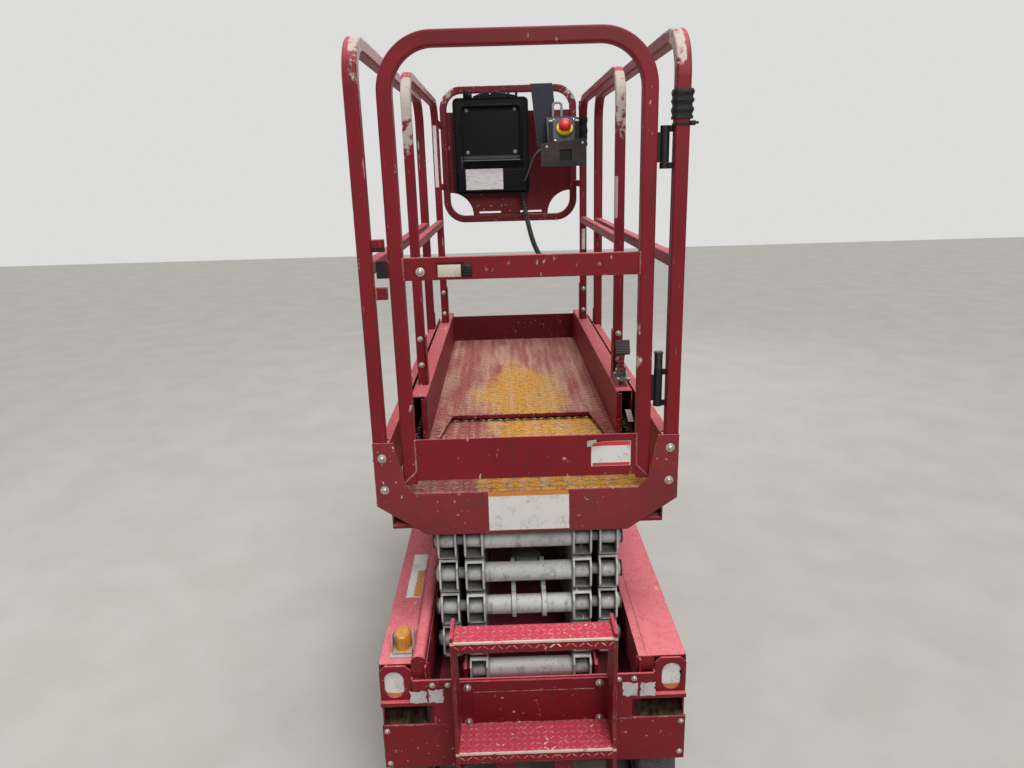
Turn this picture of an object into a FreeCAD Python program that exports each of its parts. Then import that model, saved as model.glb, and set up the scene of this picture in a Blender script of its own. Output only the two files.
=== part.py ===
import FreeCAD, Part
import math
import os

# Small electric slab scissor lift, folded down, in millimetres.
# +X is to the right of someone who climbs the rear ladder, +Y points from the
# ladder to the front, +Z is up. The origin is on the ground under the middle.

Vector = FreeCAD.Vector
os.makedirs("parts", exist_ok=True)

# Whole machine
overall_length = 2000.0
overall_width = 760.0
half_width = overall_width / 2
ladder_depth = 110.0
chassis_length = 1800.0
rear_y = ladder_depth - overall_length / 2
front_y = rear_y + chassis_length

# Sheet and plate
thin = 4.0
plate = 6.0
bar_plate = 8.0
running_gap = 0.05
slide_gap = 0.3
moving_gap = 5.5
cut_over = 1.0

# Wheels and axles
tyre_radius = 152.5
tyre_width = 100.0
tyre_shoulder = 12.0
wheel_inset = 5.0
wheel_x = half_width - wheel_inset - tyre_width / 2
rim_radius = 108.0
rim_width = 80.0
rim_wall = 14.0
rim_web = 24.0
rim_dish = 14.0
rim_dish_wall = 20.0
hub_cap_radius = 38.0
hub_cap_height = 10.0
rear_axle_inset = 200.0
rear_axle_y = rear_y + rear_axle_inset
wheelbase = 1320.0
front_axle_y = rear_axle_y + wheelbase
spindle_radius = 20.0
spindle_end = 22.0
axle_half_height = 37.5
axle_half_depth = 35.0
kingpin_inset = 120.0
kingpin_x = wheel_x - kingpin_inset
kingpin_radius = 12.0
kingpin_sleeve_radius = 27.0
kingpin_ear = 16.0
kingpin_gap = 0.5
steer_turn_gap = 12.0
motor_radius = 58.0
motor_length = 68.0
knuckle_web_half_depth = 24.0
knuckle_half_height = 31.0
knuckle_z = (tyre_radius - knuckle_half_height, tyre_radius + knuckle_half_height)

# Chassis
cover_z = 549.0
wall = 5.0
wheel_gap = 8.0
well_half_width = wheel_x - tyre_width / 2 - wheel_gap - wall
wall_low_z = 312.0
floor_z = 300.0
skid_z = 100.0
spine_inner_x = 50.0
spine_outer_x = 100.0
bulkhead_rear_y = rear_axle_y + tyre_radius + 12
steer_sweep = math.hypot(kingpin_inset + tyre_width / 2 - 5, tyre_radius)
bulkhead_front_y = front_axle_y - steer_sweep - 13.32
skirt_z = 460.0
arch_z = 325.0
ridge_radius = 19.0
ridge_x = well_half_width + ridge_radius + 1
ridge_end = 30.0
groove_width = 4.0
groove_depth = 1.5

# Side trays, each on a vertical hinge at its rear outer corner
tray_width = 184.0
tray_inner_x = half_width - tray_width
tray_shelf_z = skid_z + thin
tray_lip = 30.0
tray_end_height = 186.0
tray_hinge_inset = 12.0
tray_hinge_x = half_width - tray_hinge_inset
tray_hinge_y = bulkhead_rear_y + 27
tray_hinge_radius = 9.0
tray_hinge_zs = (130.0, 360.0)
tray_hinge_length = 60.0
tray_lug = 12.0
tray_pin_radius = 5.0
tray_arm = 34.0
tray_rear_y = tray_hinge_y + 2
tray_front_gap = 47.0
tray_front_y = bulkhead_front_y - tray_front_gap
door_rear_gap = 16.0
door_front_gap = 7.0
door_z = (skid_z + 2, skirt_z - 6)

# What stands on the trays
battery_length = 330.0
battery_height = 168.0
battery_lid = 14.0
battery_gap = 12.0
load_inset = 10.0
load_start = 16.0
tank_length = 300.0
tank_height = 180.0
pump_length = 80.0
pump_height = 150.0
pump_half_width = 55.0
motor_can_radius = 60.0
motor_can_length = 180.0
motor_foot = 30.0
charger_start = 616.0
charger_height = 170.0

# Pothole guards
guard_width = 48.0
guard_inset = 12.0
guard_top = 28.0
guard_height = 26.0

# Beacon on the left cover
beacon_x = -(half_width - 55)
beacon_y = rear_y + 82
beacon_base = (24.0, 34.0, 10.0)
beacon_lens = (13.0, 27.0, 36.0)
beacon_round = 9.0

# Rear panel
panel_top_z = 511.0
panel_split_z = 387.0
panel_low_z = 255.0
panel_split_drop = 5.5
split_depth = 1.0
split_width = 1.5
ledge_rise = 4.0
ear_width = 78.0
ear_inner_x = half_width - ear_width
ear_top_z = 545.0
ear_corner = 14.0
ear_hole_width = 49.0
ear_hole_side = 11.0
ear_hole_z = (455.0, 530.0)
ear_set_back = 12.0
pocket_width = 135.0
pocket_inner_x = half_width - pocket_width
pocket_low_z = 383.0
pocket_high_z = 438.0
pocket_depth = 330.0

# Front panel, with two round tie-down holes
front_panel_low_z = 130.0
tie_hole_radius = 19.0
tie_hole_inset = 58.0
tie_hole_x = half_width - tie_hole_inset
tie_hole_z = 430.0

# Ladder
ladder_half_width = half_width / 2
tread_depth = 68.0
ladder_top_z = 705.0
upper_tread_z = 690.0
lower_tread_z = 387.0
tread_lip = 27.0
ladder_low_z = 205.0
ladder_neck = 31.0
ladder_toe = 40.0
ladder_waist = 14.0
panel_below = 60.0
panel_rise = 22.0
panel_frame = 32.0

# Scissor stack
levels = 5
arm_pitch = 1400.0
level_rise = 100.3
base_pin_inset = 232.0
base_pin_y = rear_y + base_pin_inset
base_pin_z = 370.0
arm_height = 94.0
arm_width = 50.0
arm_wall = 5.0
arm_gap = 19.5
roller_width = 16.0
roller_side_gap = 3.0
roller_outer_x = well_half_width - roller_side_gap
roller_inner_x = roller_outer_x - roller_width
outer_arm_x = roller_inner_x - moving_gap - arm_width
inner_arm_x = outer_arm_x - arm_gap - arm_width
arm_over = 36.0
arm_corner = 18.0
pin_radius = 15.0
pin_short = 3.0
boss_radius = 22.0
pin_head_radius = 21.0
pin_head_length = 12.0
pin_head_chamfer = 4.0
cross_tube_radius = 26.0
cross_tube_wall = 5.0
roller_radius = 25.0
track_gap = 0.6
track_flange = 6.0
track_rear_over = 14.0
track_front_over = 20.0
bracket_half_depth = 45.0
bracket_over = 30.0
bracket_gap = 8.0
barrel_level = 3
fold_angle = math.degrees(math.asin(level_rise / arm_pitch))
arm_reach = arm_pitch * math.cos(math.radians(fold_angle))
open_angle = 49.9
open_reach = arm_pitch * math.cos(math.radians(open_angle))
front_pin_y = base_pin_y + arm_reach
platform_pin_z = base_pin_z + levels * level_rise

# Lift cylinder, from the third pair of inner arms to the fourth
barrel_along = 110.0
barrel_off = 40.0
eye_along = 1330.0
eye_off = -50.0
barrel_radius = 42.0
barrel_bore = 34.0
rod_radius = 25.0
barrel_eye_radius = 34.0
rod_eye_radius = 30.0
eye_half_width = 30.0
lug_gap = 5.0
lug_plate = 12.0
lug_radius = 30.0
lug_ring = 9.0
gland_back = 120.0
gland_step = 5.0
gland_depth = 26.0
barrel_bottom = 29.0
neck_half = 22.0
port_radius = 11.0
port_height = 16.0
port_along = 74.0
lug_inner_x = eye_half_width + lug_gap
lug_outer_x = lug_inner_x + lug_plate

# Platform
deck_rise = 58.5
deck_z = platform_pin_z + deck_rise
deck_plate = 3.0
platform_rear_y = rear_y + 170
platform_front_y = overall_length / 2 - 50
toe_x = half_width - 39
toe_height = 133.0
toe_top_z = deck_z + toe_height
toe_flange = 26.0
frame_depth = 85.0
frame_low_z = deck_z - frame_depth
hanger_depth = (32.0, 40.0)
hanger_width = 16.0
hanger_foot_radius = 32.0
track_web = 6.0
track_web_gap = 8.0
front_beam = 50.0
rail_size = 33.0
rail_corner = 5.0
rail_top_z = deck_z + 1080
rail_bend = 95.0
mid_rail_z = deck_z + 565
rail_x = half_width - rail_size / 2
rail_front_y = platform_front_y - 210
post_foot = 6.0
front_brace = 60.0
skirt_low_z = deck_z - 112
skirt_side_z = deck_z - 28
skirt_low_x = half_width - 124
skirt_return = 52.0
pocket_top_z = deck_z + 141
recess_top_x = half_width - 53
recess_low_x = half_width - 76
recess_corner = (22.0, 26.0)
recess_z = deck_z + 3

# Gate
gate_half_width = half_width - 70
gate_size = 34.0
gate_low_z = deck_z + 25
gate_top_z = deck_z + 1075
gate_bend = 110.0
gate_panel_z = (deck_z + 34, deck_z + 143)
gate_mid_z = (deck_z + 538, deck_z + 590)
gate_mid_depth = 20.0
gate_y = platform_rear_y + thin + moving_gap + gate_size / 2
hinge_x = gate_half_width + 18.5
hinge_radius = 10.5
hinge_pin_radius = 5.0
hinge_low_zs = (deck_z + 224, deck_z + 788)
hinge_length = 65.0
hinge_knuckle = 14.0
hinge_leaf = 6.0
keeper_height = 28.0
keeper_gap = 8.0
latch_reach = 30.0
latch_slot = (-200.0, -135.0)
latch_margin = 6.0
latch_thickness = 10.0

# Sliding extension deck
extension_rear_y = rear_y + 520
extension_deck_z = deck_z + 18
extension_wall_x = half_width - 102
extension_wall_top_z = deck_z + 150
extension_wall_low_z = deck_z + 6
notch_depth = 220.0
notch_rear_x = extension_wall_x - 28
notch_front_x = notch_rear_x - 30
extension_front_y = overall_length / 2 - 30
strip_inner = 4.0
strip_outer = 10.0
strip_end = 10.0
wall_return = 10.0
front_lip = 14.0
extension_rail_x = half_width - 79
extension_rail_size = 28.0
extension_post_ys = (extension_rear_y + 142, extension_front_y - 225)
extension_rail_top_z = deck_z + 1060
extension_rail_bend = 90.0
extension_mid_z = deck_z + 575
extension_post_low_z = deck_z + 78
foot_half_width = 20.0
foot_z = (deck_z + 130, deck_z + 305)

# Control loop at the front of the extension
loop_half_width = half_width - 83
loop_low_z = deck_z + 561
loop_high_z = deck_z + 1135
loop_tube = 30.0
loop_bend = 95.0
loop_y = overall_length / 2 - loop_tube / 2
loop_panel_top_z = deck_z + 1030
loop_panel_corner = 100.0
loop_slot = (96.0, 8.0)
loop_slot_x = 92.0
loop_arm_zs = (deck_z + 720, deck_z + 975)

# Manual box on the loop's panel
manual_box_x = (61 - loop_half_width, 84.0)
manual_box_z = (loop_low_z + 124, loop_low_z + 520)
manual_box_depth = 62.0
manual_box_round = 20.0
manual_hollow = (34.0, 147.0, 34.0, 34.0)
manual_hollow_round = 16.0
manual_pocket = (14.0, 12.0, 88.0, 14.0)

# Control box on a tray on the right rail
box_back_y = extension_post_ys[1]
box_depth = 120.0
box_left_x = extension_rail_x - 151
box_tray_x = box_left_x - 20
box_tray_z = deck_z + 800
box_tray = 6.0
box_margin = 12.0
box_low_height = 70.0
box_rise = 106.0
box_slope = 90.0
box_front_z = (box_tray_z - 9, box_tray_z + 78, box_tray_z + 96)
box_front_x = (box_tray_x - 8, extension_rail_x - 1)
box_front_hole = (64.0, 49.0, 12.0, 43.0)
stop_x = box_left_x + 70
stop_up_slope = 47.0
stop_collar = (31.0, 12.0)
stop_button = (19.0, 26.0)
guard = (18.0, 6.0, 40.0, 120.0)
stick_xs = (box_left_x + 28, box_left_x + 62)
stick = (5.0, 56.0, 13.0)
upright_width = 80.0
upright_z = (box_tray_z + 40, box_tray_z + 315)
upright_shelf = 60.0

# Deck lock pedal outside the right extension wall
lock_y = (extension_rear_y + 40, extension_rear_y + 118)
lock_reach = 40.0
lock_low_z = deck_z + 90
lock_shelf_z = deck_z + 170
lock_cheek = (8.0, 4.0, 28.0, 34.0)
lock_pad = [(8, 76), (18, 70), (34, 108), (24, 114)]
lock_arm = [(22.7, 81.2), (29.4, 97.2), (66, 26), (54, 12)]
lock_arm_width = 16.0

# Cords, as points that their tubes follow, chosen by eye
conduit_radius = 12.0
conduit_route = [(58, 932, 1615), (58, 932, 1580), (64, 925, 1541), (73, 911, 1493), (84, 891, 1443),
                 (98, 865, 1393), (121, 832, 1346), (153, 796, 1313), (191, 764, 1300), (229, 745, 1300),
                 (262, 745, 1300)]
gland_length = 26.0
arc_share = 0.45
cable_radius = 3.5
cable_route = [(150, 715, 1790), (131, 715, 1790), (113, 723, 1782), (99, 740, 1764), (88, 766, 1738),
               (79, 799, 1710), (71, 836, 1686), (65, 866, 1672), (62, 886, 1667), (62, 905, 1667)]


def block(x, y, z):
    """A box between (low, high) pairs."""
    return Part.makeBox(x[1] - x[0], y[1] - y[0], z[1] - z[0], Vector(x[0], y[0], z[0]))


def rod_x(radius, x, y, z):
    return Part.makeCylinder(radius, x[1] - x[0], Vector(x[0], y, z), Vector(1, 0, 0))


def rod_y(radius, x, y, z):
    return Part.makeCylinder(radius, y[1] - y[0], Vector(x, y[0], z), Vector(0, 1, 0))


def rod_z(radius, x, y, z):
    return Part.makeCylinder(radius, z[1] - z[0], Vector(x, y, z[0]), Vector(0, 0, 1))


def sheet_xz(points, y):
    """A flat plate from (x, z) corners, between two y values."""
    corners = [Vector(px, y[0], pz) for px, pz in points]
    face = Part.Face(Part.makePolygon(corners + corners[:1]))
    return face.extrude(Vector(0, y[1] - y[0], 0))


def sheet_yz(points, x):
    """A flat plate from (y, z) corners, between two x values."""
    corners = [Vector(x[0], py, pz) for py, pz in points]
    face = Part.Face(Part.makePolygon(corners + corners[:1]))
    return face.extrude(Vector(x[1] - x[0], 0, 0))


def sheet_xy(points, z):
    """A flat plate from (x, y) corners, between two z values."""
    corners = [Vector(px, py, z[0]) for px, py in points]
    face = Part.Face(Part.makePolygon(corners + corners[:1]))
    return face.extrude(Vector(0, 0, z[1] - z[0]))


def mirrored(shape):
    return shape.mirror(Vector(0, 0, 0), Vector(1, 0, 0))


def both_sides(shapes):
    """The shapes, and the same ones on the other side of the centre line."""
    return list(shapes) + [mirrored(shape) for shape in shapes]


def joined(shapes):
    """One fused shape."""
    if len(shapes) == 1:
        return shapes[0]
    return shapes[0].multiFuse(shapes[1:]).removeSplitter()


def cut(shape, tools):
    for tool in tools:
        shape = shape.cut(tool)
    return shape


def save(name, shape):
    shape.exportStep("parts/" + name + ".step")


def bent_path(points, radii):
    """Straight runs joined by tangent arcs; radii has one value per inner point."""
    edges = []
    start = points[0]
    for index, radius in enumerate(radii):
        corner, after = points[index + 1], points[index + 2]
        back = (points[index] - corner).normalize()
        ahead = (after - corner).normalize()
        half = (math.pi - back.getAngle(ahead)) / 2
        reach = radius * math.tan(half)
        first = corner + back * reach
        last = corner + ahead * reach
        to_centre = (back + ahead).normalize()
        middle = corner + to_centre * (radius / math.cos(half) - radius)
        if (first - start).Length > 1e-6:
            edges.append(Part.LineSegment(start, first).toShape())
        edges.append(Part.Arc(first, middle, last).toShape())
        start = last
    if (points[-1] - start).Length > 1e-6:
        edges.append(Part.LineSegment(start, points[-1]).toShape())
    return Part.Wire(edges)


def square_profile(origin, along, across, size, corner):
    """A square wire with round corners, at right angles to a path's start."""
    up = along.cross(across)
    half = size / 2
    flat = half - corner
    nick = corner * (1 - math.sqrt(0.5))
    edges = []
    for turn in range(4):
        a = (across, up, across * -1, up * -1)[turn]
        b = (up, across * -1, up * -1, across)[turn]
        low = origin + a * half - b * flat
        high = origin + a * half + b * flat
        middle = origin + a * (half - nick) + b * (half - nick)
        after = origin + a * flat + b * half
        edges.append(Part.LineSegment(low, high).toShape())
        edges.append(Part.Arc(high, middle, after).toShape())
    return Part.Wire(edges)


def square_tube(points, radii, across, size, corner=rail_corner):
    """A square bar with round corners along a bent path in one plane."""
    path = bent_path(points, radii)
    along = (points[1] - points[0]).normalize()
    profile = square_profile(points[0], along, across, size, corner)
    return path.makePipeShell([profile], True, True)


def round_tube(points, radii, radius):
    """A round bar along a bent path."""
    path = bent_path(points, radii)
    along = (points[1] - points[0]).normalize()
    profile = Part.Wire(Part.makeCircle(radius, points[0], along))
    return path.makePipeShell([profile], True, True)


def route_radii(points):
    """The largest tangent arcs that neighbouring runs leave room for."""
    radii = []
    for before, corner, after in zip(points, points[1:], points[2:]):
        runs = (corner - before, after - corner)
        turn = runs[0].getAngle(runs[1])
        radii.append(arc_share * min(runs[0].Length, runs[1].Length) / math.tan(turn / 2))
    return radii


def node_z(level):
    return base_pin_z + level * level_rise


def placed(shape, y, z, angle):
    """Turns a shape about the X axis at its origin, then moves it."""
    turned = shape.copy()
    turned.rotate(Vector(0, 0, 0), Vector(1, 0, 0), angle)
    turned.translate(Vector(0, y, z))
    return turned


# Chassis

def chassis_frame():
    """Spines, floor, well walls, bulkheads, roller tracks, tray hinges and arm brackets."""
    spine_x = (spine_inner_x, spine_outer_x)
    spine_z = (tyre_radius + axle_half_height, floor_z)
    inner_y = (rear_y + plate, front_y - plate)
    wall_x = (well_half_width, well_half_width + wall)
    side = half_width - thin
    behind_y = bulkhead_front_y + plate
    pieces = [block((-well_half_width, well_half_width), (inner_y[0], behind_y),
                    (floor_z, floor_z + plate))]
    spans = ((inner_y[0], bulkhead_rear_y), (bulkhead_rear_y + plate, bulkhead_front_y),
             (behind_y, inner_y[1]))
    pieces += both_sides([block(spine_x, span, spine_z) for span in spans])
    pieces += both_sides([
        block(wall_x, inner_y, (wall_low_z, cover_z - thin)),
        block(wall_x, (inner_y[0], behind_y), (floor_z, wall_low_z)),
    ])
    for low_y in (bulkhead_rear_y, bulkhead_front_y):
        y = (low_y, low_y + plate)
        pieces.append(block((-side, side), y, (skid_z, floor_z)))
        pieces += both_sides([block((wall_x[1], side), y, (floor_z, cover_z - thin))])
    pieces += both_sides(roller_track(base_pin_z, well_half_width) + tray_hinge_lugs())
    pieces += both_sides([arm_bracket()])
    return Part.makeCompound(pieces)


def arm_bracket():
    """Upright plate on the floor with the pin of the lowest right-hand inner arm."""
    x = (inner_arm_x + arm_width + bracket_gap, inner_arm_x + arm_width + bracket_gap + bar_plate)
    bracket = block(x, (base_pin_y - bracket_half_depth, base_pin_y + bracket_half_depth),
                    (floor_z + plate, base_pin_z + bracket_over))
    pin = rod_x(pin_radius, (inner_arm_x + pin_short, x[1] + plate), base_pin_y, base_pin_z)
    return joined([bracket, pin])


def roller_track(pin_z, web_x):
    """The two flanges that a roller runs between, out to a web on its outer side."""
    y = (base_pin_y + open_reach - roller_radius - track_rear_over,
         front_pin_y + roller_radius + track_front_over)
    inside = roller_radius + track_gap
    return [
        block((roller_inner_x, web_x), y, (pin_z - inside - track_flange, pin_z - inside)),
        block((roller_inner_x, web_x), y, (pin_z + inside, pin_z + inside + track_flange)),
    ]


def tray_hinge_lugs():
    """Lugs and pins on the rear bulkhead that carry the right-hand tray."""
    hinges = []
    for low in tray_hinge_zs:
        high = low + tray_hinge_length
        pieces = [rod_z(tray_pin_radius, tray_hinge_x, tray_hinge_y, (low, high))]
        for z in ((low, low + tray_lug), (high - tray_lug, high)):
            pieces.append(rod_z(tray_hinge_radius, tray_hinge_x, tray_hinge_y, z))
            pieces.append(block((tray_hinge_x - tray_hinge_radius, half_width - thin),
                                (bulkhead_rear_y + plate, tray_hinge_y), z))
        hinges.append(joined(pieces))
    return hinges


def side_covers():
    """Top and skirt on each side, with a half-round ridge on the left and a groove on the right."""
    y = (rear_y + plate + ear_set_back, front_y - plate)
    skirt_x = (half_width - thin, half_width)
    pieces = both_sides([
        block((well_half_width, half_width), y, (cover_z - thin, cover_z)),
        block(skirt_x, y, (skirt_z, cover_z - thin)),
        block(skirt_x, (y[0], bulkhead_rear_y + plate), (arch_z, skirt_z)),
        block(skirt_x, (bulkhead_front_y, y[1]), (arch_z, skirt_z)),
    ])
    ridge = rod_y(ridge_radius, -ridge_x, (y[0] + ridge_end, y[1] - ridge_end), cover_z)
    pieces.append(ridge.common(block((-half_width, 0), y, (cover_z, cover_z + ridge_radius))))
    groove = block((ridge_x - groove_width / 2, ridge_x + groove_width / 2),
                   (y[0] - cut_over, y[1] + cut_over), (cover_z - groove_depth, cover_z + cut_over))
    return joined(pieces).cut(groove)


def rear_panel():
    """Flat panel with a fork slot at each side, a tie-down ear over each and the fork pockets."""
    y = (rear_y, rear_y + plate)
    inner = ear_inner_x - thin
    shoulder = pocket_high_z + ledge_rise + plate
    half = [(half_width, panel_low_z), (half_width, shoulder), (inner, shoulder), (inner, panel_top_z)]
    panel = sheet_xz(half + [(-px, pz) for px, pz in reversed(half)], y)
    through = (y[0] - cut_over, y[1] + cut_over)
    slot = block((pocket_inner_x, half_width + cut_over), through, (pocket_low_z, pocket_high_z))
    split = block((-half_width - cut_over, half_width + cut_over), (y[0] - cut_over, y[0] + split_depth),
                  (panel_split_z - panel_split_drop, panel_split_z - panel_split_drop + split_width))
    panel = cut(panel, [slot, mirrored(slot), split])
    return Part.makeCompound([panel] + both_sides([rear_ear()] + fork_pocket()))


def rear_ear():
    """Tie-down ear with an oblong hole, set back on a ledge over the fork pocket."""
    x = (ear_inner_x, half_width)
    y = (rear_y + ear_set_back, rear_y + ear_set_back + plate)
    ledge_z = (pocket_high_z + ledge_rise, pocket_high_z + ledge_rise + plate)
    outline = [(x[0], ledge_z[1]), (x[1], ledge_z[1]), (x[1], ear_top_z - ear_corner),
               (x[1] - ear_corner, ear_top_z), (x[0] + ear_corner, ear_top_z),
               (x[0], ear_top_z - ear_corner)]
    ear = sheet_xz(outline, y)
    hole_x = (half_width - ear_hole_side - ear_hole_width, half_width - ear_hole_side)
    radius = ear_hole_width / 2
    middle = sum(hole_x) / 2
    through = (y[0] - cut_over, y[1] + cut_over)
    ear = cut(ear, [
        rod_y(radius, middle, through, ear_hole_z[0] + radius),
        rod_y(radius, middle, through, ear_hole_z[1] - radius),
        block(hole_x, through, (ear_hole_z[0] + radius, ear_hole_z[1] - radius)),
    ])
    ledge = block((x[0] - thin, x[1]), (rear_y + plate, y[1]), ledge_z)
    cheek = block((x[0] - thin, x[0]), (rear_y + plate, y[1]), (ledge_z[1], panel_top_z))
    return joined([ear, ledge, cheek])


def fork_pocket():
    """Roof and base plate of the right-hand fork pocket."""
    x = (well_half_width + wall, half_width - thin)
    y = (rear_y + plate + ear_set_back + plate, rear_y + pocket_depth)
    return [block(x, y, (pocket_high_z, pocket_high_z + thin)),
            block(x, (rear_y + plate, y[1]), (pocket_low_z - thin, pocket_low_z))]


def front_panel():
    y = (front_y - plate, front_y)
    panel = block((-half_width, half_width), y, (front_panel_low_z, cover_z))
    hole = rod_y(tie_hole_radius, tie_hole_x, (y[0] - cut_over, y[1] + cut_over), tie_hole_z)
    return cut(panel, [hole, mirrored(hole)])


def ladder_side():
    """One side plate, its foot set back towards the panel."""
    back = rear_y - ladder_depth
    neck = rear_y - ladder_neck
    outline = [
        (rear_y, ladder_low_z), (rear_y, panel_top_z), (neck, upper_tread_z), (neck, ladder_top_z),
        (back, ladder_top_z), (back, upper_tread_z - ladder_toe),
        (back + ladder_waist, lower_tread_z + ladder_toe * 1.5), (back, lower_tread_z + plate),
        (back, ladder_low_z + ladder_toe), (back + ladder_toe, ladder_low_z),
    ]
    return sheet_yz(outline, (ladder_half_width - bar_plate, ladder_half_width))


def tread(top_z, front_edge_y):
    """A folded tread between the side plates: a flat top and a lip at its free edge."""
    x = (bar_plate - ladder_half_width, ladder_half_width - bar_plate)
    back = rear_y - ladder_depth + 2
    return [block(x, (back, front_edge_y), (top_z - thin, top_z)),
            block(x, (back, back + thin), (top_z - tread_lip, top_z - thin))]


def rear_ladder():
    x = ladder_half_width - bar_plate
    pieces = both_sides([ladder_side()])
    pieces += tread(upper_tread_z, rear_y - ladder_depth + tread_depth)
    pieces += tread(lower_tread_z, rear_y)
    pieces.append(block((-x, x), (rear_y - plate, rear_y),
                        (lower_tread_z - panel_below, panel_top_z - 3)))
    pieces.append(block((panel_frame - x, x - panel_frame), (rear_y - bar_plate, rear_y - plate),
                        (lower_tread_z + panel_rise, panel_top_z - panel_frame)))
    return joined(pieces)


def rear_axle():
    beam = block((-well_half_width, well_half_width),
                 (rear_axle_y - axle_half_depth, rear_axle_y + axle_half_depth),
                 (tyre_radius - axle_half_height, tyre_radius + axle_half_height))
    spindle = rod_x(spindle_radius, (well_half_width, wheel_x + spindle_end), rear_axle_y, tyre_radius)
    return joined([beam] + both_sides([spindle]))


def front_axle():
    """Axle beam with two ears and a kingpin at each end."""
    inner = kingpin_x - kingpin_sleeve_radius - steer_turn_gap
    beam = block((-inner, inner), (front_axle_y - axle_half_depth, front_axle_y + axle_half_depth),
                 (tyre_radius - axle_half_height, tyre_radius + axle_half_height))
    pieces = [beam]
    ear_y = (front_axle_y - kingpin_sleeve_radius, front_axle_y + kingpin_sleeve_radius)
    for z in (knuckle_z[0] - kingpin_gap - kingpin_ear, knuckle_z[1] + kingpin_gap):
        span = (z, z + kingpin_ear)
        pieces += both_sides([block((inner - cut_over, kingpin_x), ear_y, span),
                              rod_z(kingpin_sleeve_radius, kingpin_x, front_axle_y, span)])
    pieces += both_sides([rod_z(kingpin_radius, kingpin_x, front_axle_y,
                                (knuckle_z[0] - kingpin_ear / 2, knuckle_z[1] + kingpin_ear / 2))])
    return joined(pieces)


def knuckle():
    """Right-hand steering knuckle with its spindle and drive motor drum."""
    drum_x = (wheel_x - steer_turn_gap - motor_length, wheel_x - steer_turn_gap)
    sleeve = rod_z(kingpin_sleeve_radius, kingpin_x, front_axle_y, knuckle_z)
    web = block((kingpin_x, drum_x[0] + bar_plate),
                (front_axle_y - knuckle_web_half_depth, front_axle_y + knuckle_web_half_depth), knuckle_z)
    drum = rod_x(motor_radius, drum_x, front_axle_y, tyre_radius)
    spindle = rod_x(spindle_radius, (drum_x[1], wheel_x + spindle_end), front_axle_y, tyre_radius)
    bore = rod_z(kingpin_radius + running_gap, kingpin_x, front_axle_y,
                 (knuckle_z[0] - cut_over, knuckle_z[1] + cut_over))
    return joined([sleeve, web, drum, spindle]).cut(bore)


def tyre(x, y):
    """Solid rubber tyre with round shoulders, turned about the wheel's axis."""
    low, high = x - tyre_width / 2, x + tyre_width / 2
    s = tyre_shoulder
    outline = [(low, rim_radius), (low, tyre_radius - s), (low + s, tyre_radius),
               (high - s, tyre_radius), (high, tyre_radius - s), (high, rim_radius)]
    corners = [Vector(px, y, tyre_radius + radius) for px, radius in outline]
    nick = s * (1 - math.sqrt(0.5))
    edges = [
        Part.LineSegment(corners[0], corners[1]),
        Part.Arc(corners[1], Vector(low + nick, y, 2 * tyre_radius - nick), corners[2]),
        Part.LineSegment(corners[2], corners[3]),
        Part.Arc(corners[3], Vector(high - nick, y, 2 * tyre_radius - nick), corners[4]),
        Part.LineSegment(corners[4], corners[5]),
        Part.LineSegment(corners[5], corners[0]),
    ]
    face = Part.Face(Part.Wire([edge.toShape() for edge in edges]))
    return face.revolve(Vector(x, y, tyre_radius), Vector(1, 0, 0), 360)


def rim(x, y):
    """Dished disc wheel; the inner side is hollow for the motor or the hub."""
    side = 1 if x > 0 else -1
    half = rim_width / 2

    def turned(radius, start, end):
        return rod_x(radius, sorted((x + side * start, x + side * end)), y, tyre_radius)

    shape = cut(turned(rim_radius, -half, half), [
        turned(rim_radius - rim_wall, -half - cut_over, half - rim_dish - rim_web),
        turned(rim_radius - rim_dish_wall, half - rim_dish, half + cut_over),
    ])
    shape = joined([shape, turned(hub_cap_radius, half - rim_dish, half - rim_dish + hub_cap_height)])
    return shape.cut(turned(spindle_radius + running_gap, -half - cut_over, spindle_end + moving_gap / 11))


# Side trays

def tray():
    """Right-hand swing-out tray: shelf, end plate, door and two hinge barrels."""
    x = (tray_inner_x, half_width - thin)
    y = (tray_rear_y, tray_front_y)
    pieces = [
        block(x, y, (tray_shelf_z - thin, tray_shelf_z)),
        block((x[1], half_width), (tray_hinge_y + door_rear_gap, bulkhead_front_y - door_front_gap), door_z),
        block((x[0], x[0] + thin), y, (tray_shelf_z, tray_shelf_z + tray_lip)),
        block(x, (y[1] - thin, y[1]), (tray_shelf_z, tray_shelf_z + tray_end_height)),
    ]
    bores = []
    for low in tray_hinge_zs:
        span = (low + tray_lug + slide_gap, low + tray_hinge_length - tray_lug - slide_gap)
        pieces.append(rod_z(tray_hinge_radius, tray_hinge_x, tray_hinge_y, span))
        pieces.append(block((tray_hinge_x, x[1]), (tray_hinge_y, tray_hinge_y + tray_arm), span))
        bores.append(rod_z(tray_pin_radius + running_gap, tray_hinge_x, tray_hinge_y,
                           (span[0] - cut_over, span[1] + cut_over)))
    return cut(joined(pieces), bores)


def batteries():
    """Two sealed batteries standing on the left tray, with a raised lid each."""
    x = (-half_width + thin + load_inset, -tray_inner_x - thin - plate)
    top = tray_shelf_z + battery_height
    pieces = []
    for index in range(2):
        low_y = tray_rear_y + load_start + index * (battery_length + battery_gap)
        y = (low_y, low_y + battery_length)
        body = block(x, y, (tray_shelf_z, top))
        lid = block((x[0] + thin, x[1] - thin), (y[0] + thin, y[1] - thin), (top, top + battery_lid))
        pieces.append(joined([body, lid]))
    return Part.makeCompound(pieces)


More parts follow.
